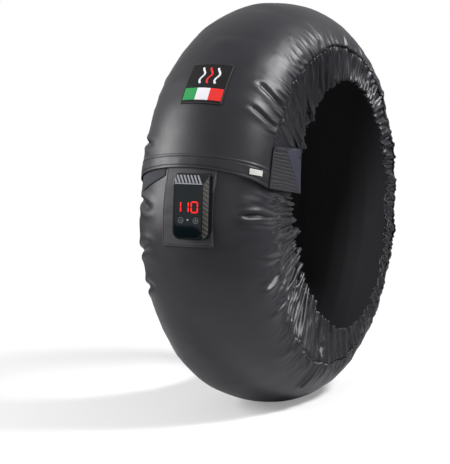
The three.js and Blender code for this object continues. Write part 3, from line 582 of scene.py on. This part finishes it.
def makeSkirt(word, side, settled):
    last = sides["flankRows"]
    keep = coverTurns >= skirt["startTurn"] - 0.5
    points, turn, reach, normal = (part[keep][:, last:] for part in settled)
    points = points + (creaseLift(turn, reach) + gatherLift(turn, reach))[..., None] * normal
    points[:, 0] -= skirt["tuck"] * normal[:, 0]
    points[:, 1] -= 0.6 * skirt["tuck"] * normal[:, 1]
    inward = points[:, -1] - points[:, -3]
    inward /= np.linalg.norm(inward, axis=-1, keepdims=True)
    out = normal[:, -1]
    depth = skirt["rollDepth"]
    rows = [points[:, -1] + 0.0008 * inward - 0.3 * depth * out, points[:, -1] + 0.0006 * inward - 0.7 * depth * out]
    rows += [points[:, -1 - k] - depth * normal[:, -1 - k] for k in range(4)]
    extra = np.arange(1, len(rows) + 1) * 0.0015 * side
    reaches = np.concatenate([reach, reach[:, -1:] + extra], axis=1)
    turns = np.concatenate([turn, np.repeat(turn[:, -1:], len(extra), axis=1)], axis=1)
    uv = np.stack([np.radians(turns) * sides["seamRadius"], reaches], axis=-1)
    piece = sheet(f"{word}_gathered_skirt", np.concatenate([points, np.stack(rows, axis=1)], axis=1), uv,
                  skirt["thickness"], skirtNylon, side < 0, slot="skirt_nylon", replaced=[f"{word}_skirt"])


makeSkirt("near", -1, nearSide)
makeSkirt("far", 1, farSide)
print("cover and skirts made")


# What is under the cover

inside = dict(upperEnd=24, lowerEnd=382, padDepth=0.0032, padThickness=0.002, liningDepth=0.0091,
              liningThickness=0.001, edgeLean=66.5, ribbonDepth=0.0078, ribbonThickness=0.001,
              lanes=(-38, 0, 38), laneHalf=6, ribbonTurns=(27, 377), channelPitch=0.032,
              channelRise=0.0009, rimDepth=0.0034, pressShare=1.25, pressWiden=2.2)


def pressedIn(turn, reach):  # how far the creases push the layers under the cover
    return -inside["pressShare"] * np.minimum(creaseLift(turn, reach, inside["pressWiden"]), 0)


def makeInside():
    edge = reachOfLean(inside["edgeLean"])
    ends = (inside["upperEnd"], inside["lowerEnd"])
    turn, reach = spread(ends, (-edge, edge), 420, 31)
    pad = sheet("insulation_wadding", surface(turn, reach, inside["padDepth"] + dip(turn) + pressedIn(turn, reach)),
                clothMap(turn, reach), inside["padThickness"], feltWadding, slot="wadding",
                replaced=["insulation_pad"])
    rim = reachOfLean(80)
    turn, reach = spread(ends, (-rim, rim), 420, 73)
    channel = np.abs(np.sin(np.pi * reach / inside["channelPitch"]))
    rise = smoothStep(edge - 0.004, edge + 0.016, np.abs(reach))
    depth = inside["liningDepth"] * (1 - rise) + inside["rimDepth"] * rise
    depth = depth + inside["channelRise"] * channel * (1 - rise) + pressedIn(turn, reach)
    lining = sheet("heat_lining", surface(turn, reach, depth + dip(turn) * rise), clothMap(turn, reach),
                   inside["liningThickness"], liningAramid, slot="lining_aramid", replaced=["inner_lining"])


def makeRibbon():
    first, last = inside["ribbonTurns"]
    half = inside["laneHalf"]
    lanes = [((first, last), (lane - half, lane + half), 200, 3) for lane in inside["lanes"]]
    lanes += [((last - 3, last), (-32.5, -5.5), 4, 8), ((first, first + 3), (5.5, 32.5), 4, 8)]
    bm = bmesh.new()
    for turns, leans, columns, rows in lanes:
        turn, reach = spread(turns, [reachOfLean(lean) for lean in leans], columns, rows)
        mesh = gridMesh("lane", surface(turn, reach, inside["ribbonDepth"]), clothMap(turn, reach))
        bm.from_mesh(mesh)
        bpy.data.meshes.remove(mesh)
    mesh = bpy.data.meshes.new("heating_ribbon")
    bm.to_mesh(mesh)
    bm.free()
    piece = link(mesh, "heating_ribbon", slot="carbon_ribbon", replaced=["heating_element"])
    wall = piece.modifiers.new("thickness", "SOLIDIFY")
    wall.thickness, wall.offset = inside["ribbonThickness"], -1
    mesh.materials.append(ribbonCarbon)


def smallPatch(name, turns, leans, lift, thickness, material, slot, replaced, shape=(24, 16)):
    turn, reach = spread(turns, [reachOfLean(lean) for lean in leans], *shape)
    points = surface(turn, reach, dip(turn) - lift)
    return sheet(name, points, clothMap(turn, reach), thickness, material, slot=slot, replaced=replaced)


def makeElastics():
    for word, side, settled in (("near", -1, nearSide), ("far", 1, farSide)):
        keep = coverTurns >= skirt["startTurn"]
        points, turn, reach, normal = (part[keep][::4] for part in settled)
        start = points[:, -1] - 0.0011 * normal[:, -1]
        end = points[:, -3] - 0.0011 * normal[:, -3]
        rows = np.stack([start + (end - start) * t for t in (0.12, 0.5, 0.9)], axis=1)
        uv = np.stack([np.radians(turn[:, -3:]) * 0.2, reach[:, -3:]], axis=-1)
        sheet(f"{word}_elastic_band", rows, uv, 0.0011, elasticBraid, side > 0, slot="elastic",
              replaced=[f"{word}_elastic"])


def makeLoopTape():  # its lower edge runs down to the far side and shows below the hem
    share, reach = spread((0, 1), [reachOfLean(lean) for lean in (19, 76)], 30, 40)
    slant = (reach - reachOfLean(19)) / (reachOfLean(45) - reachOfLean(19))
    low = 371.3 - 3.0 * slant
    turn = low + (380.5 - low) * share
    sheet("far_loop_tape", surface(turn, reach, dip(turn) - 0.0013), clothMap(turn, reach), 0.001, loopTape,
          slot="touch_tape", replaced=["far_loop_strip"])


makeInside()
makeRibbon()
makeElastics()
makeLoopTape()
smallPatch("probe_capsule", (30, 33), (17, 21), -0.0078, 0.001, platedSteel, "steel", ["temperature_probe"], (8, 5))
smallPatch("near_hook_tape", (14.5, 20), (-76, -31), -0.0015, 0.001, hookTape, "touch_tape", ["near_hook_strip"])
smallPatch("far_hook_tape", (14.5, 20), (19, 76), -0.0015, 0.001, hookTape, "touch_tape", ["far_hook_strip"])
smallPatch("near_loop_tape", (374, 380.5), (-76, -31), 0.0013, 0.001, loopTape, "touch_tape", ["near_loop_strip"])
print("layers and strips made")


# Sewing thread, laid along a line of points

def sewLine(bm, points, normals, pitch=0.0042, length=0.0028, width=0.0004):
    steps = np.linalg.norm(np.diff(points, axis=0), axis=-1)
    run = np.concatenate([[0], np.cumsum(steps)])
    for spot in np.arange(pitch / 2, run[-1] - pitch / 2, pitch):
        centre = Vector([np.interp(spot, run, points[:, k]) for k in range(3)])
        ahead = (Vector([np.interp(spot + 0.0008, run, points[:, k]) for k in range(3)]) - centre).normalized()
        out = Vector([np.interp(spot, run, normals[:, k]) for k in range(3)]).normalized()
        aside = out.cross(ahead).normalized()
        turn = Matrix((ahead, aside, out)).transposed().to_4x4()
        size = Matrix.Diagonal((length / 2, width, width * 0.8, 1))
        bmesh.ops.create_uvsphere(bm, u_segments=6, v_segments=4, radius=1,
                                  matrix=Matrix.Translation(centre) @ turn @ size)


def threadPiece(name, bm, material, slot):
    mesh = bpy.data.meshes.new(name)
    bm.to_mesh(mesh)
    bm.free()
    mesh.polygons.foreach_set("use_smooth", np.ones(len(mesh.polygons), bool))
    mesh.materials.append(material)
    return link(mesh, name, slot=slot)


def sewHem():
    bm = bmesh.new()
    for line in cover["stitchTurns"]:
        column = int(np.argmin(np.abs(coverTurns - line)))
        normals = coverNormals[column]
        sewLine(bm, coverPoints[column] + 0.0001 * normals, normals)
    threadPiece("hem_stitching", bm, darkStitch, "cover_nylon")


sewHem()


# Side tabs: they carry the hem on over the skirt. Corners are ahead of and above the axle line.

tab = dict(corners=((0.258, 0.0455), (0.100, 0.0255), (0.118, 0.099), (0.242, 0.108)), lift=0.0022,
           thickness=0.0012, puckerPitch=0.0058, puckerHeight=0.0011,
           clothSize=(0.14, 0.068), facingLift=0.0008, facingBulge=0.0012, facingTop=0.36, facingTip=0.955)


def tabPoints(side, inward, up, lift):
    lowOuter, lowInner, highInner, highOuter = (np.array(c) for c in tab["corners"])
    low = lowOuter + (lowInner - lowOuter) * inward[..., None]
    high = highOuter + (highInner - highOuter) * inward[..., None]
    spot = low + (high - low) * up[..., None]
    turn = np.degrees(np.arctan2(spot[..., 1], spot[..., 0]))
    return surface(turn, reachOfRadius(np.linalg.norm(spot, axis=-1)) * side, -lift)


def facingEdge(up):  # the line where the puckered cloth stops and the smooth facing begins
    return tab["facingTip"] + (tab["facingTop"] - tab["facingTip"]) * up


def makeTab(word, side):
    inward, up = np.meshgrid(np.linspace(0, 1, 90), np.linspace(0, 1, 70), indexing="ij")
    stitched = smoothStep(0.0, 0.08, inward) * (1 - smoothStep(-0.06, 0.03, inward - facingEdge(up)))
    wide, tall = tab["clothSize"]
    climb = up * tall
    puckers = np.sin(2 * np.pi * climb / tab["puckerPitch"] + 1.5 * waves(climb / 0.012, inward * 3, 5) + 4 * inward)
    edge = smoothStep(0, 0.05, np.minimum(np.minimum(up, 1 - up), np.minimum(inward, 1 - inward)))
    lift = tab["lift"] + tab["puckerHeight"] * puckers * stitched * (0.4 + 0.6 * edge)
    lift = lift + 0.0016 * smoothStep(0.9, 1, up) * (1 - inward) - 0.0008 * (1 - smoothStep(0, 0.06, inward))
    uv = np.stack([inward * wide, climb], axis=-1)
    sheet(f"{word}_corner_tab", tabPoints(side, inward, up, lift), uv, tab["thickness"], tabNylon, side < 0,
          slot="flap_nylon", replaced=[f"{word}_side_tab"])
    # The smooth facing, in nylon coloured lighter and bluer as painted sheen
    share, up = np.meshgrid(np.linspace(0, 1, 30), np.linspace(0.015, 0.985, 50), indexing="ij")
    inward = facingEdge(up) + (0.99 - facingEdge(up)) * share
    bulge = np.sin(np.pi * share) * np.sin(np.pi * up) ** 0.5
    lift = tab["lift"] + tab["facingLift"] + tab["facingBulge"] * bulge
    uv = np.stack([inward * wide, up * tall], axis=-1)
    sheet(f"{word}_tab_facing", tabPoints(side, inward, up, lift), uv, 0.0007, paintedSheenFacingNylon, side < 0,
          slot="flap_nylon")
    bm = bmesh.new()
    climb = np.linspace(0.02, 0.98, 60)
    zigzag = np.linspace(0.03, 0.97, 34)
    lines = [(0.045 + 0 * climb, climb), (facingEdge(climb) - 0.02, climb), (0.05 + 0.9 * climb, 0.045 + 0 * climb)]
    for low, high in ((0.08, 0.2), (0.2, 0.33)):
        across = np.where(np.arange(34) % 2 == 0, low, high)
        lines.append((np.minimum(across, facingEdge(zigzag) - 0.03), zigzag))
    for inward, up in lines:
        spots = tabPoints(side, inward, up, tab["lift"] + 0.0006 + 0 * up)
        sewLine(bm, spots, np.broadcast_to([0.0, side, 0.0], spots.shape), pitch=0.0040)
    threadPiece(f"{word}_tab_stitching", bm, darkStitch, "flap_nylon")


makeTab("near", -1)
makeTab("far", 1)


# Flap that carries the controller: stiffened, so it stands nearly flat

flap = dict(turns=(353, 376), leans=(-29.3, 17.5), lift=0.0019, thickness=0.0016, flatness=0.75,
            flatEnd=(366, 372), seamInset=0.0024)


def flapPoints(turn, reach, lift):
    points = surface(turn, reach, dip(turn) - lift)
    middle = surface(turn, 0 * reach, dip(turn) - lift)
    flat = flap["flatness"] * (1 - smoothStep(*flap["flatEnd"], turn))
    points[..., 0] += flat * (middle[..., 0] - points[..., 0])
    return points


def makeFlap():
    reaches = [reachOfLean(lean) for lean in flap["leans"]]
    gap = flap["seamInset"]
    turn, reach = spread(flap["turns"], reaches, 150, 110)
    height = np.radians(turn - flap["turns"][0]) * ring["outerRadius"]
    inset = np.minimum(height, np.minimum(reach - reaches[0], reaches[1] - reach))
    groove = 0.0007 * np.exp(-((inset - gap) / 0.0006) ** 2) + 0.0005 * (1 - smoothStep(0, 0.0012, inset))
    ripple = 0.0002 * waves(turn * 0.8, reach / 0.02, 3)
    sheet("controller_flap", flapPoints(turn, reach, flap["lift"] - groove + ripple), clothMap(turn, reach),
          flap["thickness"], flapNylon, slot="flap_nylon", replaced=["control_flap"])
    firstTurn = flap["turns"][0] + np.degrees(gap / ring["outerRadius"])
    up = np.linspace(firstTurn, 373.5, 60)
    over = np.linspace(reaches[0] + gap, reaches[1] - gap, 60)
    # The lifted edge's stitches are grey as painted highlight; the other stitches are dark
    lines = [("dark", darkStitch, [(up, np.full(60, reaches[1] - gap)), (np.full(60, firstTurn), over)]),
             ("grey", edgeHighlightStitch, [(up, np.full(60, reaches[0] + gap))])]
    for word, thread, rows in lines:
        bm = bmesh.new()
        for lineTurn, lineReach in rows:
            spots = flapPoints(lineTurn, lineReach, flap["lift"] - 0.0002)
            sewLine(bm, spots, np.broadcast_to([-1.0, 0.0, 0.0], spots.shape), pitch=0.0036, width=0.0005)
        threadPiece(f"flap_{word}_stitching", bm, thread, "flap_nylon")


makeFlap()
print("tabs and flap made")


# Label and badge

badge = dict(turns=(31.2, 43.7), leans=(-21.5, 14.5), lift=0.0015, fieldStart=-20.7, fieldSpan=11.47,
             fieldTurns=(32, 35.7), rimRadius=0.0011, rimLift=0.0010,
             waveTurns=(37.2, 42.4), waveReaches=(-0.0215, -0.009, 0.0035))


def strand(bm, points, normals, width, height):  # a raised satin stitch along a line
    previous = None
    spots = [Vector(p) for p in points]
    for index, spot in enumerate(spots):
        ahead = (spots[min(index + 1, len(spots) - 1)] - spots[max(index - 1, 0)]).normalized()
        out = Vector(normals[index]).normalized()
        aside = ahead.cross(out).normalized()
        corners = [bm.verts.new(spot + aside * width * a + out * height * h)
                   for a, h in ((-1, 0), (-0.7, 0.8), (0, 1), (0.7, 0.8), (1, 0))]
        if previous:
            for k in range(5):
                following = (k + 1) % 5
                bm.faces.new((previous[k], previous[following], corners[following], corners[k]))
        else:
            bm.faces.new(corners)
        previous = corners
    bm.faces.new(previous[::-1])
    bmesh.ops.recalc_face_normals(bm, faces=bm.faces)


def threadMap(piece):  # the woven finish reads the cloth map, so thread gets one too
    layer = piece.data.uv_layers.new(name="cloth")
    for loop in piece.data.loops:
        spot = piece.data.vertices[loop.vertex_index].co
        layer.data[loop.index].uv = (spot.z, spot.y)


def makeBadge():
    smallPatch("badge_patch", badge["turns"], badge["leans"], badge["lift"], 0.0012, badgeTwill, "badge_cloth",
               ["badge_backing"], (60, 60))
    for index, (word, thread) in enumerate((("red", redThread), ("white", whiteThread), ("green", greenThread))):
        low = badge["fieldStart"] + index * badge["fieldSpan"]
        smallPatch(f"badge_{word}_stitching", badge["fieldTurns"], (low, low + badge["fieldSpan"] - 0.15), 0.0021,
                   0.0005, thread, f"{word}_thread", [f"badge_{word}_field"], (20, 20))
    low, high = (reachOfLean(lean) for lean in badge["leans"])
    first, last = badge["turns"]
    count = np.linspace(0, 1, 40)
    corners = [(first, low), (last, low), (last, high), (first, high), (first, low)]
    rim = np.concatenate([np.linspace(a, b, 40) for a, b in zip(corners[:-1], corners[1:])])
    edgeTurn, edgeReach = rim[:, 0], rim[:, 1]
    bm = bmesh.new()
    radius = badge["rimRadius"]
    strand(bm, surface(edgeTurn, edgeReach, -badge["rimLift"]), outwards(edgeTurn, edgeReach), radius, radius)
    threadPiece("badge_overlocked_edge", bm, darkStitch, "badge_cloth")
    for word, thread, rows in (("red", redThread, (1,)), ("white", whiteThread, (0, 2))):
        bm = bmesh.new()
        for row in rows:  # rising heat
            up = np.linspace(*badge["waveTurns"], 40)
            reach = badge["waveReaches"][row] + 0.0026 * np.sin(2.5 * np.pi * count)
            strand(bm, surface(up, reach, -0.0014), outwards(up, reach), 0.0017, 0.0008)
        threadMap(threadPiece(f"badge_{word}_heat_lines", bm, thread, f"{word}_thread"))


smallPatch("label_tape", (13.2, 14.9), (-74, -58), 0.0016, 0.0005, satinTape, "label_tape", ["care_label"], (16, 24))
makeBadge()
print("label and badge made")


# Controller, built about its own middle: x to the right, y up, z out from the flap

casing = dict(width=0.057, height=0.099, depth=0.018, back=0.007, gap=0.0003, wall=0.0018, topCorner=0.006,
              bottomCorner=0.013, topChamfer=(0.0165, 0.005), sideChamfer=(0.0085, 0.004), ceiling=0.011,
              frontWall=0.0024, turn=3.5, yaw=2.8, digitMiddle=(-0.0156, -0.0007), digitFront=0.0183, edge=0.0009)
window = dict(margin=0.0022, thickness=0.0009, clearance=0.0003)
keys = dict(places={"left": (-0.0153, -0.0207), "right": (0.0093, -0.0207)}, radius=0.0048, hole=0.0051,
            flange=0.0012)
digits = dict(height=0.0175, width=0.0122, stroke=0.0021, gap=0.0005, places=(-0.0156, -0.003, 0.0069),
              thickness=0.0004)


def casingFrame():
    tilt, yaw = math.radians(casing["turn"]), math.radians(casing["yaw"])
    out = Vector((-math.cos(yaw) * math.cos(tilt), -math.sin(yaw), math.cos(yaw) * math.sin(tilt)))
    up = Vector((math.sin(tilt), 0, math.cos(tilt)))
    up = (up - out * up.dot(out)).normalized()
    across = up.cross(out)
    low, high = (Vector(corner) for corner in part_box("digit_hundreds"))
    x, y = casing["digitMiddle"]
    matrix = Matrix((across, up, out)).transposed().to_4x4()
    matrix.translation = (low + high) / 2 - across * x - up * y - out * casing["digitFront"]
    return matrix


caseMatrix = casingFrame()


def finishPart(bm, name, materials, slot, replaced=(), body=blanket):
    bmesh.ops.transform(bm, matrix=caseMatrix, verts=bm.verts)
    mesh = bpy.data.meshes.new(name)
    bm.to_mesh(mesh)
    bm.free()
    for material in materials:
        mesh.materials.append(material)
    mesh.polygons.foreach_set("use_smooth", np.ones(len(mesh.polygons), bool))
    mesh.set_sharp_from_angle(angle=math.radians(32))
    return link(mesh, name, body, slot, replaced)


def thicken(bm, faces, height):  # makes a closed solid of flat faces
    grown = bmesh.ops.extrude_face_region(bm, geom=faces)
    moved = [v for v in grown["geom"] if isinstance(v, bmesh.types.BMVert)]
    bmesh.ops.translate(bm, vec=(0, 0, height), verts=moved)
    bmesh.ops.recalc_face_normals(bm, faces=bm.faces)


def plate(x, y, z, corners):  # rounded plate; corners holds a radius for the bottom and one for the top
    bm = bmesh.new()
    bmesh.ops.create_grid(bm, x_segments=1, y_segments=1, size=0.5)
    bmesh.ops.scale(bm, vec=(x[1] - x[0], y[1] - y[0], 1), verts=bm.verts)
    bmesh.ops.translate(bm, vec=((x[0] + x[1]) / 2, (y[0] + y[1]) / 2, z[0]), verts=bm.verts)
    middle = (y[0] + y[1]) / 2
    for radius, below in zip(corners, (True, False)):
        spots = [v for v in bm.verts if (v.co.y < middle) == below]
        bmesh.ops.bevel(bm, geom=spots, offset=radius, segments=8, profile=0.5, affect="VERTICES", material=-1)
    thicken(bm, list(bm.faces), z[1] - z[0])
    return bm


def rod(radius, z, place, segments=40):
    bm = bmesh.new()
    bmesh.ops.create_cone(bm, cap_ends=True, segments=segments, radius1=radius, radius2=radius, depth=z[1] - z[0])
    bmesh.ops.translate(bm, vec=(*place, (z[0] + z[1]) / 2), verts=bm.verts)
    return bm


def cutOff(bm, point, normal):  # takes off what lies beyond a plane and closes the cut
    geometry = list(bm.verts) + list(bm.edges) + list(bm.faces)
    bmesh.ops.bisect_plane(bm, geom=geometry, plane_co=point, plane_no=normal, clear_outer=True)
    bmesh.ops.holes_fill(bm, edges=[e for e in bm.edges if e.is_boundary])


def softenEdges(bm, width, keep):
    sharp = [e for e in bm.edges if keep(e) and e.calc_face_angle(0) > math.radians(10)]
    bmesh.ops.bevel(bm, geom=sharp, offset=width, segments=3, profile=0.5, affect="EDGES", material=-1,
                    clamp_overlap=True)


def carve(bm, cutters):
    holders = []
    for source in [bm, *cutters]:
        mesh = bpy.data.meshes.new("work")
        source.to_mesh(mesh)
        source.free()
        holders.append(bpy.data.objects.new("work", mesh))
        bpy.context.scene.collection.objects.link(holders[-1])
    for tool in holders[1:]:
        step = holders[0].modifiers.new("cut", "BOOLEAN")
        step.operation, step.solver, step.object = "DIFFERENCE", "EXACT", tool
    bpy.context.view_layer.update()
    result = bmesh.new()
    result.from_object(holders[0], bpy.context.evaluated_depsgraph_get())
    for holder in holders:
        mesh = holder.data
        bpy.data.objects.remove(holder)
        bpy.data.meshes.remove(mesh)
    return result


halfWidth, halfHeight = casing["width"] / 2, casing["height"] / 2
faceTop, faceRight = halfHeight - casing["topChamfer"][0], halfWidth - casing["sideChamfer"][0]
outline = ((-halfWidth, halfWidth), (-halfHeight, halfHeight))
roundings = (casing["bottomCorner"], casing["topCorner"])
innerWidth, innerHeight = halfWidth - casing["wall"], halfHeight - casing["wall"]
innerRoundings = tuple(radius - casing["wall"] for radius in roundings)


def windowPlate(inset, z):
    x = (-halfWidth + window["margin"] + inset, faceRight - window["margin"] / 2 - inset)
    y = (-halfHeight + window["margin"] + inset, faceTop - window["margin"] / 2 - inset)
    return plate(x, y, z, (casing["bottomCorner"] - window["margin"] - inset, 0.0006))


def makeFrontShell():
    depth, ceiling, back = casing["depth"], casing["ceiling"], casing["back"]
    bm = plate(*outline, (back + casing["gap"], depth), roundings)
    run, fall = casing["topChamfer"]
    cutOff(bm, (0, faceTop, depth), (0, fall, run))
    sideRun, sideFall = casing["sideChamfer"]
    cutOff(bm, (faceRight, 0, depth), (sideFall, 0, sideRun))
    bmesh.ops.recalc_face_normals(bm, faces=bm.faces)
    softenEdges(bm, casing["edge"], lambda e: min(v.co.z for v in e.verts) > ceiling)
    cutters = [plate((-innerWidth, innerWidth), (-innerHeight, innerHeight), (back - 0.001, ceiling), innerRoundings),
               plate((-innerWidth, faceRight - 0.002), (-innerHeight, faceTop - 0.002),
                     (ceiling - 0.0005, depth - casing["frontWall"]), innerRoundings),
               windowPlate(0, (depth - window["thickness"] - window["clearance"], depth + 0.002))]
    cutters += [rod(keys["hole"], (ceiling, depth + 0.001), place) for place in keys["places"].values()]
    shell = carve(bm, cutters)
    twill = Vector((sideFall, 0, sideRun)).normalized()
    for face in shell.faces:
        if face.normal.dot(twill) > 0.995 and face.calc_center_median().z > ceiling:
            face.material_index = 1
    finishPart(shell, "casing_front", [glossAbs, carbonTwill], "casing_plastic", ["front_shell"])


def makeBackShell():
    bm = plate(*outline, (0, casing["back"]), roundings)
    softenEdges(bm, 0.0012, lambda e: max(v.co.z for v in e.verts) < 1e-5)
    cutters = [plate((-innerWidth, innerWidth), (-innerHeight, innerHeight),
                     (casing["wall"], casing["back"] + 0.001), innerRoundings)]
    finishPart(carve(bm, cutters), "casing_back", [glossAbs], "casing_plastic", ["back_shell"])


def makeWindow():
    depth = casing["depth"]
    bm = windowPlate(window["clearance"], (depth - window["thickness"], depth))
    softenEdges(bm, 0.00025, lambda e: min(v.co.z for v in e.verts) > depth - 1e-5)
    cutters = [rod(keys["hole"], (depth - 0.002, depth + 0.001), place) for place in keys["places"].values()]
    finishPart(carve(bm, cutters), "display_panel", [acrylic], "window_plastic", ["display_window"])


def turnedPart(profile, closed):  # a profile of radius and height, turned about z
    bm = bmesh.new()
    spots = [bm.verts.new((r, 0, z)) for r, z in profile]
    pairs = list(zip(spots, spots[1:] + spots[:1])) if closed else list(zip(spots[:-1], spots[1:]))
    edges = [bm.edges.new(pair) for pair in pairs]
    bmesh.ops.spin(bm, geom=spots + edges, cent=(0, 0, 0), axis=(0, 0, 1), angle=math.tau, steps=40, use_merge=True)
    bmesh.ops.remove_doubles(bm, verts=bm.verts, dist=1e-6)
    bmesh.ops.recalc_face_normals(bm, faces=bm.faces)
    return bm


def makeKeys():
    top = casing["depth"]
    for word, place in keys["places"].items():
        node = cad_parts[f"button_{word}"]
        heights = [(caseMatrix.inverted() @ node.matrix_world @ v.co).z for v in node.data.vertices]
        back = min(heights)
        step = top - casing["frontWall"] - 0.0003
        radius = keys["radius"]
        bm = turnedPart([(0, back), (radius + keys["flange"], back), (radius + keys["flange"], step), (radius, step),
                         (radius, top - 0.0004), (radius - 0.0004, top), (radius * 0.5, top - 0.00015),
                         (0, top - 0.0002)], False)
        bmesh.ops.translate(bm, vec=(*place, 0), verts=bm.verts)
        finishPart(bm, f"{word}_key_cap", [softKey], "key_plastic", [f"button_{word}"], f"{word}_key")
        mark = radius * 0.86
        bm = turnedPart([(mark - 0.0003, top - 0.0003), (mark + 0.0003, top - 0.0003), (mark + 0.0003, top + 0.0001),
                         (mark - 0.0003, top + 0.0001)], True)
        bars = [(0.0036, 0.0008)] if word == "left" else [(0.0036, 0.0008), (0.0008, 0.0036)]
        for width, height in bars:
            bmesh.ops.create_cube(bm, size=1, matrix=Matrix.Translation((0, 0, top - 0.0002))
                                  @ Matrix.Diagonal((width, height, 0.0005, 1)))
        bmesh.ops.translate(bm, vec=(*place, 0), verts=bm.verts)
        finishPart(bm, f"{word}_key_print", [greyPrint], "key_plastic", (), f"{word}_key")


def segment(bm, start, end, z):  # one lit bar with pointed ends
    start, end = Vector((*start, 0)), Vector((*end, 0))
    ahead = (end - start).normalized()
    aside = Vector((-ahead.y, ahead.x, 0)) * digits["stroke"] / 2
    nose = ahead * digits["stroke"] / 2
    start, end = start + ahead * digits["gap"] / 2, end - ahead * digits["gap"] / 2
    loop = [start, start + nose + aside, end - nose + aside, end, end - nose - aside, start + nose - aside]
    thicken(bm, [bm.faces.new([bm.verts.new((p.x, p.y, z)) for p in loop])], digits["thickness"])


def makeDigits():
    half, middle = digits["height"] / 2, casing["digitMiddle"][1]
    z = casing["depth"] + 0.0001
    low, high = middle - half + digits["stroke"] / 2, middle + half - digits["stroke"] / 2
    reach = digits["width"] / 2 - digits["stroke"] / 2
    for word, x in zip(("hundreds", "tens", "units"), digits["places"]):
        bm = bmesh.new()
        columns = (x - reach, x + reach) if word == "units" else (x,)
        for column in columns:
            segment(bm, (column, low), (column, middle), z)
            segment(bm, (column, middle), (column, high), z)
        if word == "units":
            segment(bm, (x - reach, low), (x + reach, low), z)
            segment(bm, (x - reach, high), (x + reach, high), z)
        finishPart(bm, f"lit_{word}", [litSegment], "lit_red", [f"digit_{word}"])


def makeStatusLamp():
    bm = bmesh.new()
    place = Matrix.Translation((-0.0037, -0.0198, casing["depth"]))
    bmesh.ops.create_uvsphere(bm, u_segments=20, v_segments=12, radius=1,
                              matrix=place @ Matrix.Diagonal((0.0013, 0.0013, 0.0006, 1)))
    finishPart(bm, "status_lamp", [lampLens], "lamp_grey", ["status_light"])


bars = dict(count=8, start=-0.0252, pitch=0.0057, width=0.0026, lean=0.0062, height=0.0004)


def makeBars():  # pale diagonal bars on the sloping top, with a line below them
    run, fall = casing["topChamfer"]
    bottom, top = 0.0021, math.hypot(run, fall) - 0.0028
    corners = [((-halfWidth + 0.0025, 0.0002), (faceRight - 0.0012, 0.0002), (faceRight - 0.0012, 0.0016),
                (-halfWidth + 0.0025, 0.0016))]
    for index in range(bars["count"]):
        x = bars["start"] + index * bars["pitch"]
        corners.append(((x, bottom), (x + bars["width"], bottom), (x + bars["width"] - bars["lean"], top),
                        (x - bars["lean"], top)))
    bm = bmesh.new()
    for loop in corners:
        thicken(bm, [bm.faces.new([bm.verts.new((x, y, -bars["height"])) for x, y in loop])], 2 * bars["height"])
    bmesh.ops.rotate(bm, cent=(0, 0, 0), matrix=Matrix.Rotation(-math.atan2(fall, run), 3, "X"), verts=bm.verts)
    bmesh.ops.translate(bm, vec=(0, faceTop, casing["depth"]), verts=bm.verts)
    cutOff(bm, (-halfWidth + 0.0016, 0, 0), (-1, 0, 0))
    cutOff(bm, (-halfWidth + 0.0016, faceTop + 0.010, 0), (-0.8, 0.6, 0))
    finishPart(bm, "casing_bars", [paleBar], "casing_plastic")


makeFrontShell()
makeBackShell()
makeWindow()
makeKeys()
makeDigits()
makeStatusLamp()
makeBars()
print("controller made")


# CAD nodes that stay, with their finish

for words, finish in ((("circuit_board",), boardLacquer), (("lead_grommet", "heater_lead"), leadRubber),
                      ([f"casing_screw_{number}" for number in (1, 2, 3, 4)], platedSteel)):
    for word in words:
        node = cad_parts[word]
        node.data.materials.clear()
        node.data.materials.append(finish)
